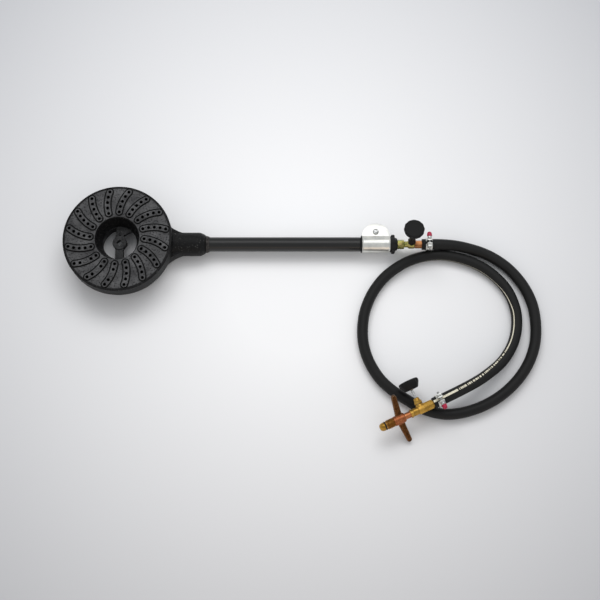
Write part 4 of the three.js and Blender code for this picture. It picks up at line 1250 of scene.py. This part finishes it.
def wing_nut():
    start, hub_end, thread_end = 25.7, 42.7, 55.1
    hub = turned("hub", softened([
        (start, 0), (start, 6), (start + 1.4, 7), (hub_end - 0.6, 7), (hub_end, 6.6), (hub_end + 0.2, 5.9),
    ], 0.4, 3) + screw_thread(hub_end + 0.4, thread_end - 0.2, 6, 6.9, 1.2)
        + [(thread_end, 5.8), (thread_end, 0)], 96)
    moved(hub, LENGTHWISE)
    middle = (start + hub_end) / 2
    for side in (1, -1):
        welded(hub, moved(wing(side), at(middle)))
    cut(hub, moved(bore(start - 1, thread_end + 1, 4.95, 56), LENGTHWISE))
    return finish(hub, "winged_union", wing_place, "wing", "bronze", cast_red_brass(), "wing_nut")


# ---------- making everything ----------

burner_head()
socket_weld()
arm_tube()
mixer_body()
air_shutter()
shutter_screw()
shutter_nut()
gas_jet()
inlet_nipple()
valve_body()
valve_top(1, 7.5, 32, 3.7, 37, arm_valve_place, "black_oxide", OXIDE)
hose_tail(1, 10.5, arm_tail_place, "bronze", TAIL_BRONZE)
hose_clamp(1, arm_clamp_place)
tee_body()
valve_top(2, 8, 17.7, 4.2, 30.5, end_valve_place, "brass", FITTING_BRASS)
hose_tail(2, 1.2, end_tail_place, "brass", FITTING_BRASS)
hose_clamp(2, end_clamp_place)
spindle_collar()
spindle()
spindle_nose()
nose_seal()
wing_nut()

# ---------- floor and light ----------

deselect()
bpy.ops.mesh.primitive_grid_add(x_subdivisions=8, y_subdivisions=8, size=6, location=(0, 0, 0))
floor = bpy.context.object
floor.name = "paper_floor"
floor.data.materials.append(paper_floor())


def softbox(name, place, aim, size, power, colour="#ffffff", mirrored=True):
    """A softbox; one that isn't mirrored lights surfaces but leaves no highlight on them."""
    data = bpy.data.lights.new(name, "AREA")
    data.shape = "RECTANGLE"
    data.size, data.size_y = size
    data.energy = power
    data.color = linear(colour)[:3]
    box = bpy.data.objects.new(name, data)
    box.location = place
    box.rotation_euler = (Vector(aim) - Vector(place)).to_track_quat("-Z", "Y").to_euler()
    box.visible_glossy = mirrored
    bpy.context.scene.collection.objects.link(box)


softbox("back_softbox", (0.0, 1.1, 1.5), (0.05, -0.05, 0), (1.7, 0.8), 16, mirrored=False)
softbox("top_softbox", (0.15, 0.75, 1.6), (0.1, 0, 0), (1.9, 1.0), 7.8)
softbox("warm_fill", (0.1, -1.5, 0.55), (0.1, -0.1, 0.02), (1.6, 0.45), 2.2, colour="#e0b98c")

world = bpy.data.worlds.new("studio")
world.use_nodes = True
world.node_tree.nodes["Background"].inputs["Color"].default_value = linear("#eceef0")
world.node_tree.nodes["Background"].inputs["Strength"].default_value = 0.74
bpy.context.scene.world = world
bpy.context.scene.view_settings.view_transform = "Standard"
